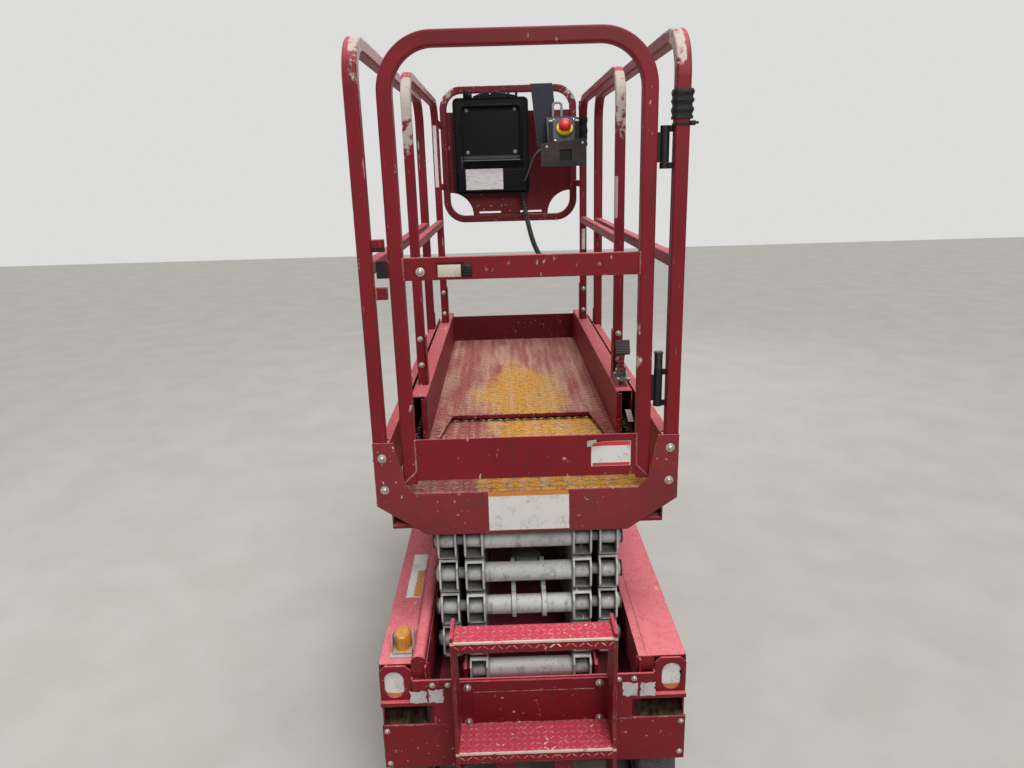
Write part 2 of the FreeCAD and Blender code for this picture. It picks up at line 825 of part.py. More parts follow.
def power_unit():
    """Oil tank, pump block and motor, and a charger, standing on the right tray."""
    x = (tray_inner_x + thin + plate, half_width - thin - load_inset)
    low = tray_shelf_z
    middle = sum(x) / 2
    tank_y = (tray_rear_y + load_start + load_inset, tray_rear_y + load_start + load_inset + tank_length)
    pump_y = (tank_y[1], tank_y[1] + pump_length)
    motor_y = (pump_y[1], pump_y[1] + motor_can_length)
    pump_x = (middle - pump_half_width, middle + pump_half_width)
    unit = joined([
        block(x, tank_y, (low, low + tank_height)),
        block(pump_x, pump_y, (low, low + pump_height)),
        rod_y(motor_can_radius, middle, motor_y, low + pump_height / 2),
        block((pump_x[0] + thin, pump_x[1] - thin), (motor_y[0] + plate, motor_y[1] - plate),
              (low, low + motor_foot)),
    ])
    charger = block(x, (motor_y[1] + load_inset * 3, tray_front_y - thin - load_inset),
                    (low, low + charger_height))
    return Part.makeCompound([unit, charger])


def pothole_guards():
    """Guard bars under the trays, held by the bulkheads' lower edges."""
    x = (half_width - guard_inset - guard_width, half_width - guard_inset)
    y = (bulkhead_rear_y, bulkhead_front_y + plate)
    top = skid_z - guard_top
    pieces = [block(x, y, (top - plate, top)),
              block((x[1] - plate, x[1]), y, (top - plate - guard_height, top - plate))]
    pieces += [block(x, (end, end + plate), (top, skid_z)) for end in (bulkhead_rear_y, bulkhead_front_y)]
    return joined(both_sides(pieces))


def beacon():
    """Amber lamp on the left cover."""
    x, y = beacon_x, beacon_y
    foot_z = cover_z + beacon_base[2]
    base = block((x - beacon_base[0], x + beacon_base[0]), (y - beacon_base[1], y + beacon_base[1]),
                 (cover_z, foot_z))
    lens = block((x - beacon_lens[0], x + beacon_lens[0]), (y - beacon_lens[1], y + beacon_lens[1]),
                 (foot_z, foot_z + beacon_lens[2]))
    lens = lens.makeFillet(beacon_round, [e for e in lens.Edges if e.CenterOfMass.z > foot_z + beacon_round])
    return joined([base, lens])


# Scissor arms

def arm_tube(x, bored):
    """Rectangular tube with nicked ends and three bosses, along +Y from its rear pin."""
    y = (-arm_over, arm_pitch + arm_over)
    z = (-arm_height / 2, arm_height / 2)
    c = arm_corner
    outline = [(y[0], z[0] + c), (y[0] + c, z[0]), (y[1] - c, z[0]), (y[1], z[0] + c),
               (y[1], z[1] - c), (y[1] - c, z[1]), (y[0] + c, z[1]), (y[0], z[1] - c)]
    hollow = block((x[0] + arm_wall, x[1] - arm_wall), (y[0] - cut_over, y[1] + cut_over),
                   (z[0] + arm_wall, z[1] - arm_wall))
    bosses = [rod_x(boss_radius, x, along, 0) for along in (0, arm_pitch / 2, arm_pitch)]
    tube = joined([sheet_yz(outline, x).cut(hollow)] + bosses)
    return cut(tube, [rod_x(radius, (x[0] - cut_over, x[1] + cut_over), along, 0)
                      for along, radius in bored])


def inner_arms(level):
    """Two inner arms, bored for their pins, with a cross tube at each end."""
    x = (inner_arm_x, inner_arm_x + arm_width)
    bore = pin_radius + running_gap
    end_bore = pin_radius if level == levels else bore
    side = arm_tube(x, ((0, bore), (arm_pitch / 2, bore), (arm_pitch, end_bore)))
    pieces = both_sides([side])
    for along in (0, arm_pitch):
        outside = rod_x(cross_tube_radius, (-inner_arm_x, inner_arm_x), along, 0)
        inside = rod_x(cross_tube_radius - cross_tube_wall, (-inner_arm_x, inner_arm_x), along, 0)
        pieces.append(outside.cut(inside))
    if level == levels:
        pieces += both_sides([roller_pin(x[0])])
    if level == barrel_level:
        pin = rod_x(pin_radius, (-lug_outer_x, lug_outer_x), barrel_along, barrel_off)
        pieces.append(joined(both_sides([lug(0, barrel_along, barrel_off)]) + [pin]))
    if level == barrel_level + 1:
        pieces += both_sides([lug(arm_pitch, eye_along, eye_off)])
    return placed(Part.makeCompound(pieces), base_pin_y, node_z(level - 1), fold_angle)


def lug(tube_along, along, off):
    """A plate from a cross tube out to a cylinder pin, in the arm's own frame."""
    x = (lug_inner_x, lug_outer_x)
    reach = math.hypot(along - tube_along, off)
    ring = rod_x(cross_tube_radius + lug_ring, x, 0, 0)
    nose = rod_x(lug_radius, x, reach, 0)
    bar = block(x, (0, reach), (3 - lug_radius, lug_radius - 3))
    shape = joined([ring, nose, bar]).cut(rod_x(cross_tube_radius, x, 0, 0))
    angle = math.degrees(math.atan2(off, along - tube_along))
    return placed(shape, tube_along, 0, angle)


def roller_pin(start_x):
    """The roller at an arm's front end, on a pin that is pressed into the arm."""
    return joined([rod_x(pin_radius, (start_x, roller_outer_x), arm_pitch, 0),
                   rod_x(roller_radius, (roller_inner_x, roller_outer_x), arm_pitch, 0)])


def outer_arms(level):
    """Two outer arms with their pressed-in pins, along +Y and down from the rear pin."""
    x = (outer_arm_x, outer_arm_x + arm_width)
    alongs = (0, arm_pitch / 2, arm_pitch)
    pieces = [arm_tube(x, [(along, pin_radius) for along in alongs])]
    for along in alongs:
        if level == 1 and along == arm_pitch:
            pieces.append(roller_pin(x[0]))
        else:
            shaft = rod_x(pin_radius, (inner_arm_x + pin_short, x[1]), along, 0)
            head = rod_x(pin_head_radius, (x[1], x[1] + pin_head_length), along, 0)
            rim_edges = [e for e in head.Edges if e.CenterOfMass.x > x[1] + pin_head_length - 1]
            pieces.append(joined([shaft, head.makeChamfer(pin_head_chamfer, rim_edges)]))
    return placed(Part.makeCompound(both_sides(pieces)), base_pin_y, node_z(level), -fold_angle)


# Lift cylinder

def on_arm(level, along, off):
    """(y, z) of a point given along and off an inner arm."""
    turn = math.radians(fold_angle)
    return (base_pin_y + along * math.cos(turn) - off * math.sin(turn),
            node_z(level - 1) + along * math.sin(turn) + off * math.cos(turn))


barrel_pin = on_arm(barrel_level, barrel_along, barrel_off)
rod_pin = on_arm(barrel_level + 1, eye_along, eye_off)
closed_length = math.hypot(rod_pin[0] - barrel_pin[0], rod_pin[1] - barrel_pin[1])
cylinder_angle = math.degrees(math.atan2(rod_pin[1] - barrel_pin[1], rod_pin[0] - barrel_pin[0]))


def lift_barrel():
    """Barrel with its eye, oil port and gland, bored for the rod."""
    end = closed_length - gland_back
    eye_x = (-eye_half_width, eye_half_width)
    shape = joined([
        rod_y(barrel_radius, 0, (barrel_eye_radius + plate, end), 0),
        rod_x(barrel_eye_radius, eye_x, 0, 0),
        block((-neck_half, neck_half), (barrel_bottom / 3, barrel_eye_radius + bar_plate),
              (-neck_half, neck_half)),
        rod_y(barrel_radius + gland_step, 0, (end - gland_depth, end), 0),
        rod_z(port_radius, 0, port_along, (barrel_bore, barrel_radius + port_height)),
    ])
    over_x = (eye_x[0] - cut_over, eye_x[1] + cut_over)
    shape = cut(shape, [
        rod_y(barrel_bore, 0, (barrel_eye_radius + barrel_bottom, end - barrel_bottom), 0),
        rod_y(rod_radius + running_gap, 0, (end - barrel_bottom - cut_over, end + cut_over), 0),
        rod_x(pin_radius + running_gap, over_x, 0, 0),
    ])
    return placed(shape, barrel_pin[0], barrel_pin[1], cylinder_angle)


def lift_rod():
    eye_x = (-eye_half_width, eye_half_width)
    shaft_y = (barrel_eye_radius + barrel_bottom + gland_step, closed_length - rod_eye_radius + thin)
    shape = joined([rod_y(rod_radius, 0, shaft_y, 0), rod_x(rod_eye_radius, eye_x, closed_length, 0)])
    hole = rod_x(pin_radius + running_gap, (eye_x[0] - cut_over, eye_x[1] + cut_over), closed_length, 0)
    return placed(shape.cut(hole), barrel_pin[0], barrel_pin[1], cylinder_angle)


# Platform

def platform_deck():
    """Deck sheet, toe walls, upper roller tracks and hangers for the top arms."""
    y = (platform_rear_y + thin, platform_front_y)
    below = deck_z - deck_plate
    web_x = (roller_outer_x + track_web_gap, roller_outer_x + track_web_gap + track_web)
    toe = (toe_x, toe_x + thin)
    web_low = frame_low_z - bar_plate
    pieces = [block((-toe_x, toe_x), y, (below, deck_z))]
    pieces.append(block((-web_x[0], web_x[0]), (y[1] - front_beam, y[1]), (frame_low_z + 20, below)))
    side = [
        block(toe, y, (frame_low_z, toe_top_z)),
        block((toe[1], toe_x + toe_flange), (platform_rear_y + skirt_return, rail_front_y - rail_bend / 2),
              (toe_top_z - thin, toe_top_z)),
        block(web_x, y, (web_low, below)),
        block((web_x[1], toe[1]), y, (web_low, frame_low_z)),
        block((toe[1], half_width), (rail_front_y + rail_size / 2, rail_front_y + rail_size / 2 + plate),
              (deck_z, toe_top_z + front_brace)),
    ]
    for post_y in (platform_rear_y + thin + rail_size / 2, rail_front_y):
        side.append(block((toe[1], half_width), (post_y - rail_size / 2, post_y + rail_size / 2),
                          (deck_z, deck_z + post_foot)))
    side += roller_track(platform_pin_z, web_x[0])
    side.append(hanger())
    return Part.makeCompound(pieces + both_sides(side))


def hanger():
    """Plate under the deck, bored for the pin of the topmost right-hand outer arm."""
    x = (inner_arm_x + arm_width - 2 - hanger_width, inner_arm_x + arm_width - 2)
    upright = block(x, (base_pin_y - hanger_depth[0], base_pin_y + hanger_depth[1]),
                    (platform_pin_z, deck_z - deck_plate))
    foot = rod_x(hanger_foot_radius, x, base_pin_y, platform_pin_z)
    bore = rod_x(pin_radius + running_gap, (x[0] - cut_over, x[1] + cut_over), base_pin_y, platform_pin_z)
    return joined([upright, foot]).cut(bore)


def rear_skirt():
    """U-shaped plate that closes the platform's rear, turned in at both sides."""
    half = [(skirt_low_x, skirt_low_z), (half_width, skirt_side_z), (half_width, pocket_top_z),
            (recess_top_x, pocket_top_z), (recess_low_x, recess_z + recess_corner[1]),
            (recess_low_x - recess_corner[0], recess_z)]
    outline = half + [(-px, pz) for px, pz in reversed(half)]
    skirt = sheet_xz(outline, (platform_rear_y, platform_rear_y + thin))
    cheek = block((half_width - deck_plate, half_width),
                  (platform_rear_y + thin, platform_rear_y + skirt_return), (skirt_side_z, deck_z))
    return joined([skirt] + both_sides([cheek]))


def slide_strips():
    """Plastic wear strips on the deck, under the extension's side walls."""
    strip = block((extension_wall_x - strip_inner, extension_wall_x + strip_outer),
                  (extension_rear_y + strip_end, platform_front_y - strip_end),
                  (deck_z, extension_wall_low_z - slide_gap))
    return Part.makeCompound(both_sides([strip]))


def main_rails():
    """One bent rail on each side with its middle bar, gate hinges and latch keepers."""
    rear = platform_rear_y + thin + rail_size / 2
    top = rail_top_z - rail_size / 2
    base = deck_z + post_foot
    points = [Vector(rail_x, rear, base), Vector(rail_x, rear, top),
              Vector(rail_x, rail_front_y, top), Vector(rail_x, rail_front_y, base)]
    hoop = square_tube(points, [rail_bend, rail_bend], Vector(1, 0, 0), rail_size)
    half = rail_size / 2
    bar_ends = [Vector(rail_x, rear + half, mid_rail_z), Vector(rail_x, rail_front_y - half, mid_rail_z)]
    bar = square_tube(bar_ends, [], Vector(1, 0, 0), rail_size - deck_plate)
    pieces = both_sides([hoop, bar])
    inner = rail_x - half
    pieces += [hinge_half(low, inner) for low in hinge_low_zs]
    for z in (gate_mid_z[0] - keeper_height - keeper_gap * 2, gate_mid_z[1] + keeper_gap * 2):
        pieces.append(block((-inner, -gate_half_width - keeper_gap),
                            (gate_y - keeper_gap, gate_y + keeper_gap), (z, z + keeper_height)))
    return Part.makeCompound(pieces)


def hinge_half(low, inner):
    """Two knuckles and a pin, held to the right rear post."""
    high = low + hinge_length
    pieces = [rod_z(hinge_pin_radius, hinge_x, gate_y, (low - hinge_knuckle, high + hinge_knuckle))]
    for span in ((low - hinge_knuckle, low - slide_gap), (high + slide_gap, high + hinge_knuckle)):
        pieces.append(rod_z(hinge_radius, hinge_x, gate_y, span))
        pieces.append(block((hinge_x, inner), (gate_y - hinge_leaf / 2, gate_y + hinge_leaf / 2), span))
    return joined(pieces)


def entry_gate():
    """Swing gate: bent frame, kick panel, flat middle bar, hinge barrels and latch tongue."""
    edge = gate_half_width - gate_size / 2
    top = gate_top_z - gate_size / 2
    points = [Vector(edge, gate_y, gate_low_z), Vector(edge, gate_y, top),
              Vector(-edge, gate_y, top), Vector(-edge, gate_y, gate_low_z)]
    frame = square_tube(points, [gate_bend, gate_bend], Vector(0, 1, 0), gate_size)
    inside = gate_half_width - gate_size
    back = gate_y - gate_size / 2
    panel = block((-inside, inside), (back + 2, back + 2 + thin), gate_panel_z)
    mid = block((-inside, inside), (back + thin, back + thin + gate_mid_depth), gate_mid_z)
    slot = block(latch_slot, (back + thin - cut_over, back + thin * 2),
                 (gate_mid_z[0] + latch_margin * 2, gate_mid_z[1] - latch_margin * 2))
    tongue = block((-gate_half_width - latch_reach, -gate_half_width),
                   (gate_y - latch_thickness / 2, gate_y + latch_thickness / 2),
                   (gate_mid_z[0] + latch_margin, gate_mid_z[1] - latch_margin))
    pieces = [frame, panel, mid.cut(slot), tongue]
    pin = rod_z(hinge_pin_radius + running_gap, hinge_x, gate_y, (gate_low_z, gate_top_z))
    for low in hinge_low_zs:
        span = (low, low + hinge_length)
        barrel = rod_z(hinge_radius, hinge_x, gate_y, span)
        leaf = block((gate_half_width, hinge_x), (gate_y - hinge_leaf / 2, gate_y + hinge_leaf / 2), span)
        pieces.append(joined([barrel, leaf]).cut(pin))
    return Part.makeCompound(pieces)


# Extension deck

def extension_deck():
    """Sliding deck sheet with a notch at its rear, two side walls and a front plate."""
    y = (extension_rear_y, extension_front_y - plate)
    wall_x = (extension_wall_x, extension_wall_x + plate)
    notch_y = y[0] + notch_depth
    notch = sheet_xy([(-notch_rear_x, y[0] - cut_over), (notch_rear_x, y[0] - cut_over),
                      (notch_front_x, notch_y), (-notch_front_x, notch_y)],
                     (extension_deck_z - thin * 2, extension_deck_z + cut_over))
    deck = block((-wall_x[0], wall_x[0]), y, (extension_deck_z - thin, extension_deck_z)).cut(notch)
    hem = block((-notch_front_x - thin, notch_front_x + thin), (notch_y, notch_y + thin),
                (extension_wall_low_z, extension_deck_z - thin))
    side = [
        block(wall_x, y, (extension_wall_low_z, extension_wall_top_z)),
        block((wall_x[1], wall_x[1] + wall_return), (y[0], y[0] + thin),
              (extension_wall_low_z + bar_plate, extension_wall_top_z - plate)),
    ]
    half = wall_x[1] + front_lip
    front = block((-half, half), (y[1], extension_front_y), (extension_wall_low_z, toe_top_z))
    return Part.makeCompound([deck, hem, front] + both_sides(side))


def extension_rails():
    """Bent side rails bolted to the extension's walls."""
    x = extension_rail_x
    half = extension_rail_size / 2
    top = extension_rail_top_z - half
    rear, front = extension_post_ys
    base = extension_post_low_z
    points = [Vector(x, rear, base), Vector(x, rear, top), Vector(x, front, top), Vector(x, front, base)]
    hoop = square_tube(points, [extension_rail_bend, extension_rail_bend], Vector(1, 0, 0),
                       extension_rail_size)
    pieces = [hoop]
    bars = [(rear + half, front - half, extension_mid_z)]
    bars += [(front + half, loop_y - loop_tube / 2, z) for z in loop_arm_zs]
    for low_y, high_y, z in bars:
        pieces.append(square_tube([Vector(x, low_y, z), Vector(x, high_y, z)], [], Vector(1, 0, 0),
                                  extension_rail_size - 2))
    inner = extension_wall_x + plate
    for y in (rear, front):
        foot = block((inner, x - half), (y - foot_half_width, y + foot_half_width), (base, foot_z[1]))
        pieces.append(foot)
    return Part.makeCompound(both_sides(pieces) + [conduit_gland()])


def conduit_gland():
    """Round gland on the right front post that the conduit runs into."""
    end = Vector(*conduit_route[-1])
    along = (end - Vector(*conduit_route[-2])).normalize()
    gland = Part.makeCylinder(conduit_radius + deck_plate, gland_length, end, along)
    post = block((extension_rail_x - extension_rail_size / 2, half_width),
                 (end.y - gland_length, end.y + gland_length), (end.z - rail_size, end.z + rail_size))
    return gland.cut(post)


def control_loop():
    """Round-cornered loop at the front with its backing plate."""
    edge = loop_half_width - loop_tube / 2
    low, high = loop_low_z + loop_tube / 2, loop_high_z - loop_tube / 2
    start = Vector(0, loop_y, low)
    points = [start, Vector(edge, loop_y, low), Vector(edge, loop_y, high),
              Vector(-edge, loop_y, high), Vector(-edge, loop_y, low), start]
    hoop = square_tube(points, [loop_bend - loop_tube / 2] * 4, Vector(0, 1, 0), loop_tube)
    inside = edge - loop_tube / 2
    base = loop_low_z + loop_tube
    y = (loop_y - thin, loop_y + thin / 2)
    through = (y[0] - cut_over, y[1] + cut_over)
    slot_x = (loop_slot_x - loop_slot[0] / 2, loop_slot_x + loop_slot[0] / 2)
    slot_z = (base + loop_slot[1], base + loop_slot[1] * 2)
    panel = block((-inside, inside), y, (base, loop_panel_top_z))
    panel = cut(panel, both_sides([rod_y(loop_panel_corner, inside, through, base),
                                   block(slot_x, through, slot_z)]))
    return Part.makeCompound([hoop, panel])


def round_upright_edges(shape, radius):
    """Rounds the edges of a block that run along Y."""
    return shape.makeFillet(radius, [e for e in shape.Edges
                                     if abs(e.Vertexes[0].Point.y - e.Vertexes[1].Point.y) > cut_over])


def manual_box():
    """Black document box on the plate, with a hollow lid and a low pocket."""
    x, z = manual_box_x, manual_box_z
    back = loop_y - thin
    y = (back - manual_box_depth, back)
    side, low, high, deep = manual_hollow
    body = round_upright_edges(block(x, y, z), manual_box_round)
    hollow = block((x[0] + side, x[1] - side), (y[0] - cut_over, y[0] + deep), (z[0] + low, z[1] - high))
    hollow = round_upright_edges(hollow, manual_hollow_round)
    inset, start, height, depth = manual_pocket
    pocket = block((x[0] + inset, x[1] - inset), (y[0] - depth, y[0]), (z[0] + start, z[0] + start + height))
    return joined([body.cut(hollow), pocket])


def control_box():
    """Sloping joystick box on a tray on the right rail, with its stop button, guards and plates."""
    inner = extension_rail_x - extension_rail_size / 2
    y = (box_back_y - box_depth, box_back_y)
    tray_z = (box_tray_z, box_tray_z + box_tray)
    low_z = tray_z[1] + box_low_height
    high_z = low_z + box_rise
    body = sheet_yz([(y[0], tray_z[1]), (y[0], low_z), (y[0] + box_slope, high_z), (y[1], high_z),
                     (y[1], tray_z[1])], (box_left_x, inner - box_margin))
    front_y = (y[0] - box_margin, y[0] - box_margin + thin)
    front = sheet_xz([(box_front_x[0], box_front_z[0]), (box_front_x[1], box_front_z[0]),
                      (box_front_x[1], box_front_z[2]), (box_front_x[0], box_front_z[1])], front_y)
    hole = (box_tray_x + box_front_hole[0], tray_z[0] + box_front_hole[2])
    front = front.cut(block((hole[0], hole[0] + box_front_hole[1]), (front_y[0] - cut_over, y[0]),
                            (hole[1], hole[1] + box_front_hole[3])))
    upright_y = (y[1] + box_margin, y[1] + box_margin + plate)
    upright_x = (box_tray_x - upright_width / 2, box_tray_x + upright_width / 2)
    upright = sheet_xz([(upright_x[0], upright_z[1]), (upright_x[1] + bar_plate, upright_z[1]),
                        (upright_x[1] + bar_plate * 2, upright_z[1] - 70), (upright_x[1], upright_z[0]),
                        (upright_x[0] + 28, upright_z[0])], upright_y)
    shelf = block((box_tray_x, upright_x[1]), (upright_y[0] - thin, upright_y[0]),
                  (tray_z[0], tray_z[0] + upright_shelf))
    guard_z = (tray_z[1] + guard[2], tray_z[1] + guard[2] + guard[3])
    guards = [block((left, left + guard[0]), (y[0] - guard[1], y[0]), guard_z)
              for left in (box_left_x + 2, inner - box_margin - guard[0] - 2)]
    slope = Vector(0, box_slope, box_rise).normalize()
    outward = Vector(0, -slope.z, slope.y)
    seat = Vector(stop_x, y[0], low_z) + slope * (stop_up_slope / slope.y)
    collar = Part.makeCylinder(stop_collar[0], stop_collar[1], seat - outward, outward)
    button = Part.makeCylinder(stop_button[0], stop_button[1], seat + outward * (stop_collar[1] - 1), outward)
    radius, height, bend = stick
    stick_y = y[1] - box_margin - radius
    stick_z = (high_z - cut_over, high_z + height)
    arch = round_tube([Vector(stick_xs[0], stick_y, stick_z[0]), Vector(stick_xs[0], stick_y, stick_z[1]),
                       Vector(stick_xs[1], stick_y, stick_z[1]), Vector(stick_xs[1], stick_y, stick_z[0])],
                      [bend, bend], radius)
    tray = block((box_tray_x, inner), (front_y[1], upright_y[0]), tray_z)
    return joined([body, front, tray, upright, shelf, collar, button, arch] + guards)


def deck_lock():
    """Foot pedal that frees the extension: a bracket on the right wall, a fork, an arm and a pad."""
    wall_face = extension_wall_x + plate
    x = (wall_face, wall_face + lock_reach)
    shelf_z = (lock_shelf_z, lock_shelf_z + plate)
    edge, width, start, length = lock_cheek
    cheek_y = (lock_y[0] + start, lock_y[0] + start + length)
    cheek_z = (shelf_z[1], shelf_z[1] + start)
    middle = sum(x) / 2
    half = lock_arm_width / 2
    arm = [(lock_y[0] + along, shelf_z[1] + up) for along, up in lock_arm]
    pad = [(lock_y[0] + along, shelf_z[1] + up) for along, up in lock_pad]
    return joined([
        block((wall_face, wall_face + plate), lock_y, (lock_low_z, shelf_z[0])),
        block(x, lock_y, shelf_z),
        block((x[0] + edge, x[0] + edge + width), cheek_y, cheek_z),
        block((x[1] - edge - width, x[1] - edge), cheek_y, cheek_z),
        block((x[0] + edge, x[1] - edge), (cheek_y[0] + edge, cheek_y[1]),
              (cheek_z[0], cheek_z[0] + lock_arm_width * 1.5)),
        sheet_yz(arm, (middle - half, middle + half)),
        sheet_yz(pad, x),
    ])


# Cords

def cord(route, radius):
    """A round bar through a route's points, its corners as wide as the runs allow."""
    points = [Vector(*point) for point in route]
    return round_tube(points, route_radii(points), radius)


# Everything by node name

single_nodes = [
    ("chassis_frame", chassis_frame), ("side_covers", side_covers), ("rear_panel", rear_panel),
    ("front_panel", front_panel), ("rear_ladder", rear_ladder), ("rear_axle", rear_axle),
    ("front_axle", front_axle), ("pothole_guards", pothole_guards), ("beacon", beacon),
    ("left_batteries", batteries), ("power_unit", power_unit), ("lift_barrel", lift_barrel),
    ("lift_rod", lift_rod), ("platform_deck", platform_deck), ("slide_strips", slide_strips),
    ("rear_skirt", rear_skirt), ("main_rails", main_rails), ("entry_gate", entry_gate),
    ("extension_deck", extension_deck), ("extension_rails", extension_rails), ("control_loop", control_loop),
    ("manual_box", manual_box), ("control_box", control_box), ("deck_lock", deck_lock),
]
for node_name, make in single_nodes:
    save(node_name, make())

for level_number in range(1, levels + 1):
    save("inner_arms_%d" % level_number, inner_arms(level_number))
    save("outer_arms_%d" % level_number, outer_arms(level_number))

for side_name, side_sign in (("left", -1), ("right", 1)):
    for end_name, axle_y in (("rear", rear_axle_y), ("front", front_axle_y)):
        save("%s_%s_tyre" % (end_name, side_name), tyre(side_sign * wheel_x, axle_y))
        save("%s_%s_rim" % (end_name, side_name), rim(side_sign * wheel_x, axle_y))

save("right_knuckle", knuckle())
save("left_knuckle", mirrored(knuckle()))
save("right_tray", tray())
save("left_tray", mirrored(tray()))
save("control_conduit", cord(conduit_route, conduit_radius))
save("control_cable", cord(cable_route, cable_radius))
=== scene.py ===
import bpy, bmesh, math, random
from mathutils import Matrix, Vector


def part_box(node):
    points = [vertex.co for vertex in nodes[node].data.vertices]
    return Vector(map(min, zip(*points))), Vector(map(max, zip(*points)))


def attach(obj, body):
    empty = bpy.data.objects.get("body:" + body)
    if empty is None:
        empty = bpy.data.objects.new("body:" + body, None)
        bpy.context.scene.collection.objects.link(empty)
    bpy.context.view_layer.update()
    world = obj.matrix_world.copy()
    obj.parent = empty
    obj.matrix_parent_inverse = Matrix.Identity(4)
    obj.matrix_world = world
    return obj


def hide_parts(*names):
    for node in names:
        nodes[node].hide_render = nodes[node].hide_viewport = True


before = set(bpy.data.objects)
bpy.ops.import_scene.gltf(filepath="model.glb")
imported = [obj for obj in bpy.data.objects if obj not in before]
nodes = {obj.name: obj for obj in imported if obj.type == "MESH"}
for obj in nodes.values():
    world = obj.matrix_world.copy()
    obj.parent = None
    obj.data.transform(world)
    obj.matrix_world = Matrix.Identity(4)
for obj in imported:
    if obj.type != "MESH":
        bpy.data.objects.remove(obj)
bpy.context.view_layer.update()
scene = bpy.context.scene
scene.view_settings.view_transform = "Standard"


# The viewpoint: someone stands behind the ladder with a wide lens at eye height,
# looks down over the gate and holds the camera a little crooked.

camera_data = bpy.data.cameras.new("viewpoint")
camera_data.sensor_width, camera_data.lens = 36.0, 25.96
camera = bpy.data.objects.new("viewpoint", camera_data)
scene.collection.objects.link(camera)
scene.camera = camera
yaw, pitch, roll = math.radians(0.4924), math.radians(16.074), math.radians(-1.611)
ahead = Vector((math.sin(yaw) * math.cos(pitch), math.cos(yaw) * math.cos(pitch), -math.sin(pitch)))
level = ahead.cross(Vector((0, 0, 1))).normalized()
right = level * math.cos(roll) + level.cross(ahead) * math.sin(roll)
camera.matrix_world = Matrix.LocRotScale(
    Vector((-0.0452, -2.4345, 1.708)),
    Matrix((right, right.cross(ahead), -ahead)).transposed(), None)


# The studio: a plain pale floor and wall, a soft sun-like lamp overhead, one lamp
# behind the viewer and two weaker ones at the sides. None of it belongs to the lift.

class Wire:
    """A socket in a material; sums and products of wires add their own Math nodes."""

    def __init__(self, tree, socket=None):
        self.tree, self.socket = tree, socket

    def node(self, kind, settings=None, inputs=None, output=0):
        """Adds any node: its settings first, then the values or wires of its sockets."""
        made = self.tree.nodes.new("ShaderNode" + kind)
        for key, value in (settings or {}).items():
            if key == "stops":
                ramp = made.color_ramp.elements
                while len(ramp) < len(value):
                    ramp.new(0.5)
                for stop, (place, colour) in zip(ramp, value):
                    stop.position, stop.color = place, (*colour, 1)
            else:
                setattr(made, key, value)
        for key, value in (inputs or {}).items():
            if isinstance(value, Wire):
                self.tree.links.new(value.socket, made.inputs[key])
            else:
                colour = isinstance(value, tuple) and made.inputs[key].type == "RGBA"
                made.inputs[key].default_value = (*value, 1) if colour else value
        return Wire(self.tree, made.outputs[output])

    def maths(self, operation, *others):
        return self.node("Math", {"operation": operation}, dict(enumerate((self, *others))))

    def __add__(self, other):
        return self.maths("ADD", other)

    def __mul__(self, other):
        return self.maths("MULTIPLY", other)

    def __sub__(self, other):
        return self.maths("SUBTRACT", other)

    def __rsub__(self, other):
        return self.node("Math", {"operation": "SUBTRACT"}, {0: other, 1: self})

    __radd__, __rmul__ = __add__, __mul__

    def step(self, low, high):
        """0 below low, 1 above high and smooth in between."""
        return self.node("MapRange", {"interpolation_type": "SMOOTHSTEP"},
                         {"Value": self, "From Min": low, "From Max": high})

    def between(self, low, high, soft):
        """1 between two values, fading to 0 over the soft distance outside them."""
        return self.step(low - soft, low) * (1 - self.step(high, high + soft))

    def blend(self, first, second):
        """From the first colour to the second as this wire goes from 0 to 1."""
        return self.node("Mix", {"data_type": "RGBA"}, {0: self, 6: first, 7: second}, output=2)

    def stretched(self, x, y, z):
        """This place with its axes scaled, for marks that run one way."""
        return self.node("VectorMath", {"operation": "MULTIPLY"}, {0: self, 1: (x, y, z)})

    def speckle(self, scale, detail=3.0, rough=0.55):
        return self.node("TexNoise", None,
                         {"Vector": self, "Scale": scale, "Detail": detail, "Roughness": rough})

    def part(self, axis):
        return self.node("SeparateXYZ", None, {0: self}, output="xyz".index(axis))

    def parts(self):
        return [self.part(axis) for axis in "xyz"]

    def most(self, other):
        return self.maths("MAXIMUM", other)


def finish(name, slot=None, **fixed):
    """A new material, the place on its piece (so that marks move with the piece) and its shader."""
    made = bpy.data.materials.new(name)
    made.use_nodes = True
    if slot:
        made["slot"] = slot
    shader = made.node_tree.nodes["Principled BSDF"]
    for key, value in fixed.items():
        shader.inputs[key.replace("_", " ").title().replace("Ior", "IOR")].default_value = value
    return made, Wire(made.node_tree).node("TexCoord", output=3), shader


def feed(shader, bump=None, rounded=None, **wires):
    """Leads what changes over the surface into the shader; bump is (height, strength, distance)."""
    if bump:
        inputs = dict(zip(("Height", "Strength", "Distance"), bump))
        if rounded:
            inputs["Normal"] = rounded
        wires["normal"] = bump[0].node("Bump", None, inputs)
    for key, wire in wires.items():
        shader.id_data.links.new(wire.socket, shader.inputs[key.replace("_", " ").title()])


def seen_directly(start):
    """1 where the camera, a gloss or a pane shows the surface, 0 where it only lights others."""
    camera, glossy, clear = (start.node("LightPath", output=way) for way in (0, 3, 6))
    return camera.most(glossy).most(clear)


pale_floor, place, shader = finish("pale_floor")
spots = place.speckle(3.0, 4.0)
feed(shader, base_color=spots.step(0.3, 0.7).blend((0.375, 0.36, 0.328), (0.41, 0.395, 0.362)),
     roughness=0.85 + 0.1 * spots)
reach = 14.0
floor_mesh = bpy.data.meshes.new("floor")
floor_mesh.from_pydata([(-reach, -reach, 0), (reach, -reach, 0), (reach, reach, 0), (-reach, reach, 0)],
                       [], [(0, 1, 2, 3)])
floor_mesh.materials.append(pale_floor)
floor = bpy.data.objects.new("floor", floor_mesh)
scene.collection.objects.link(floor)

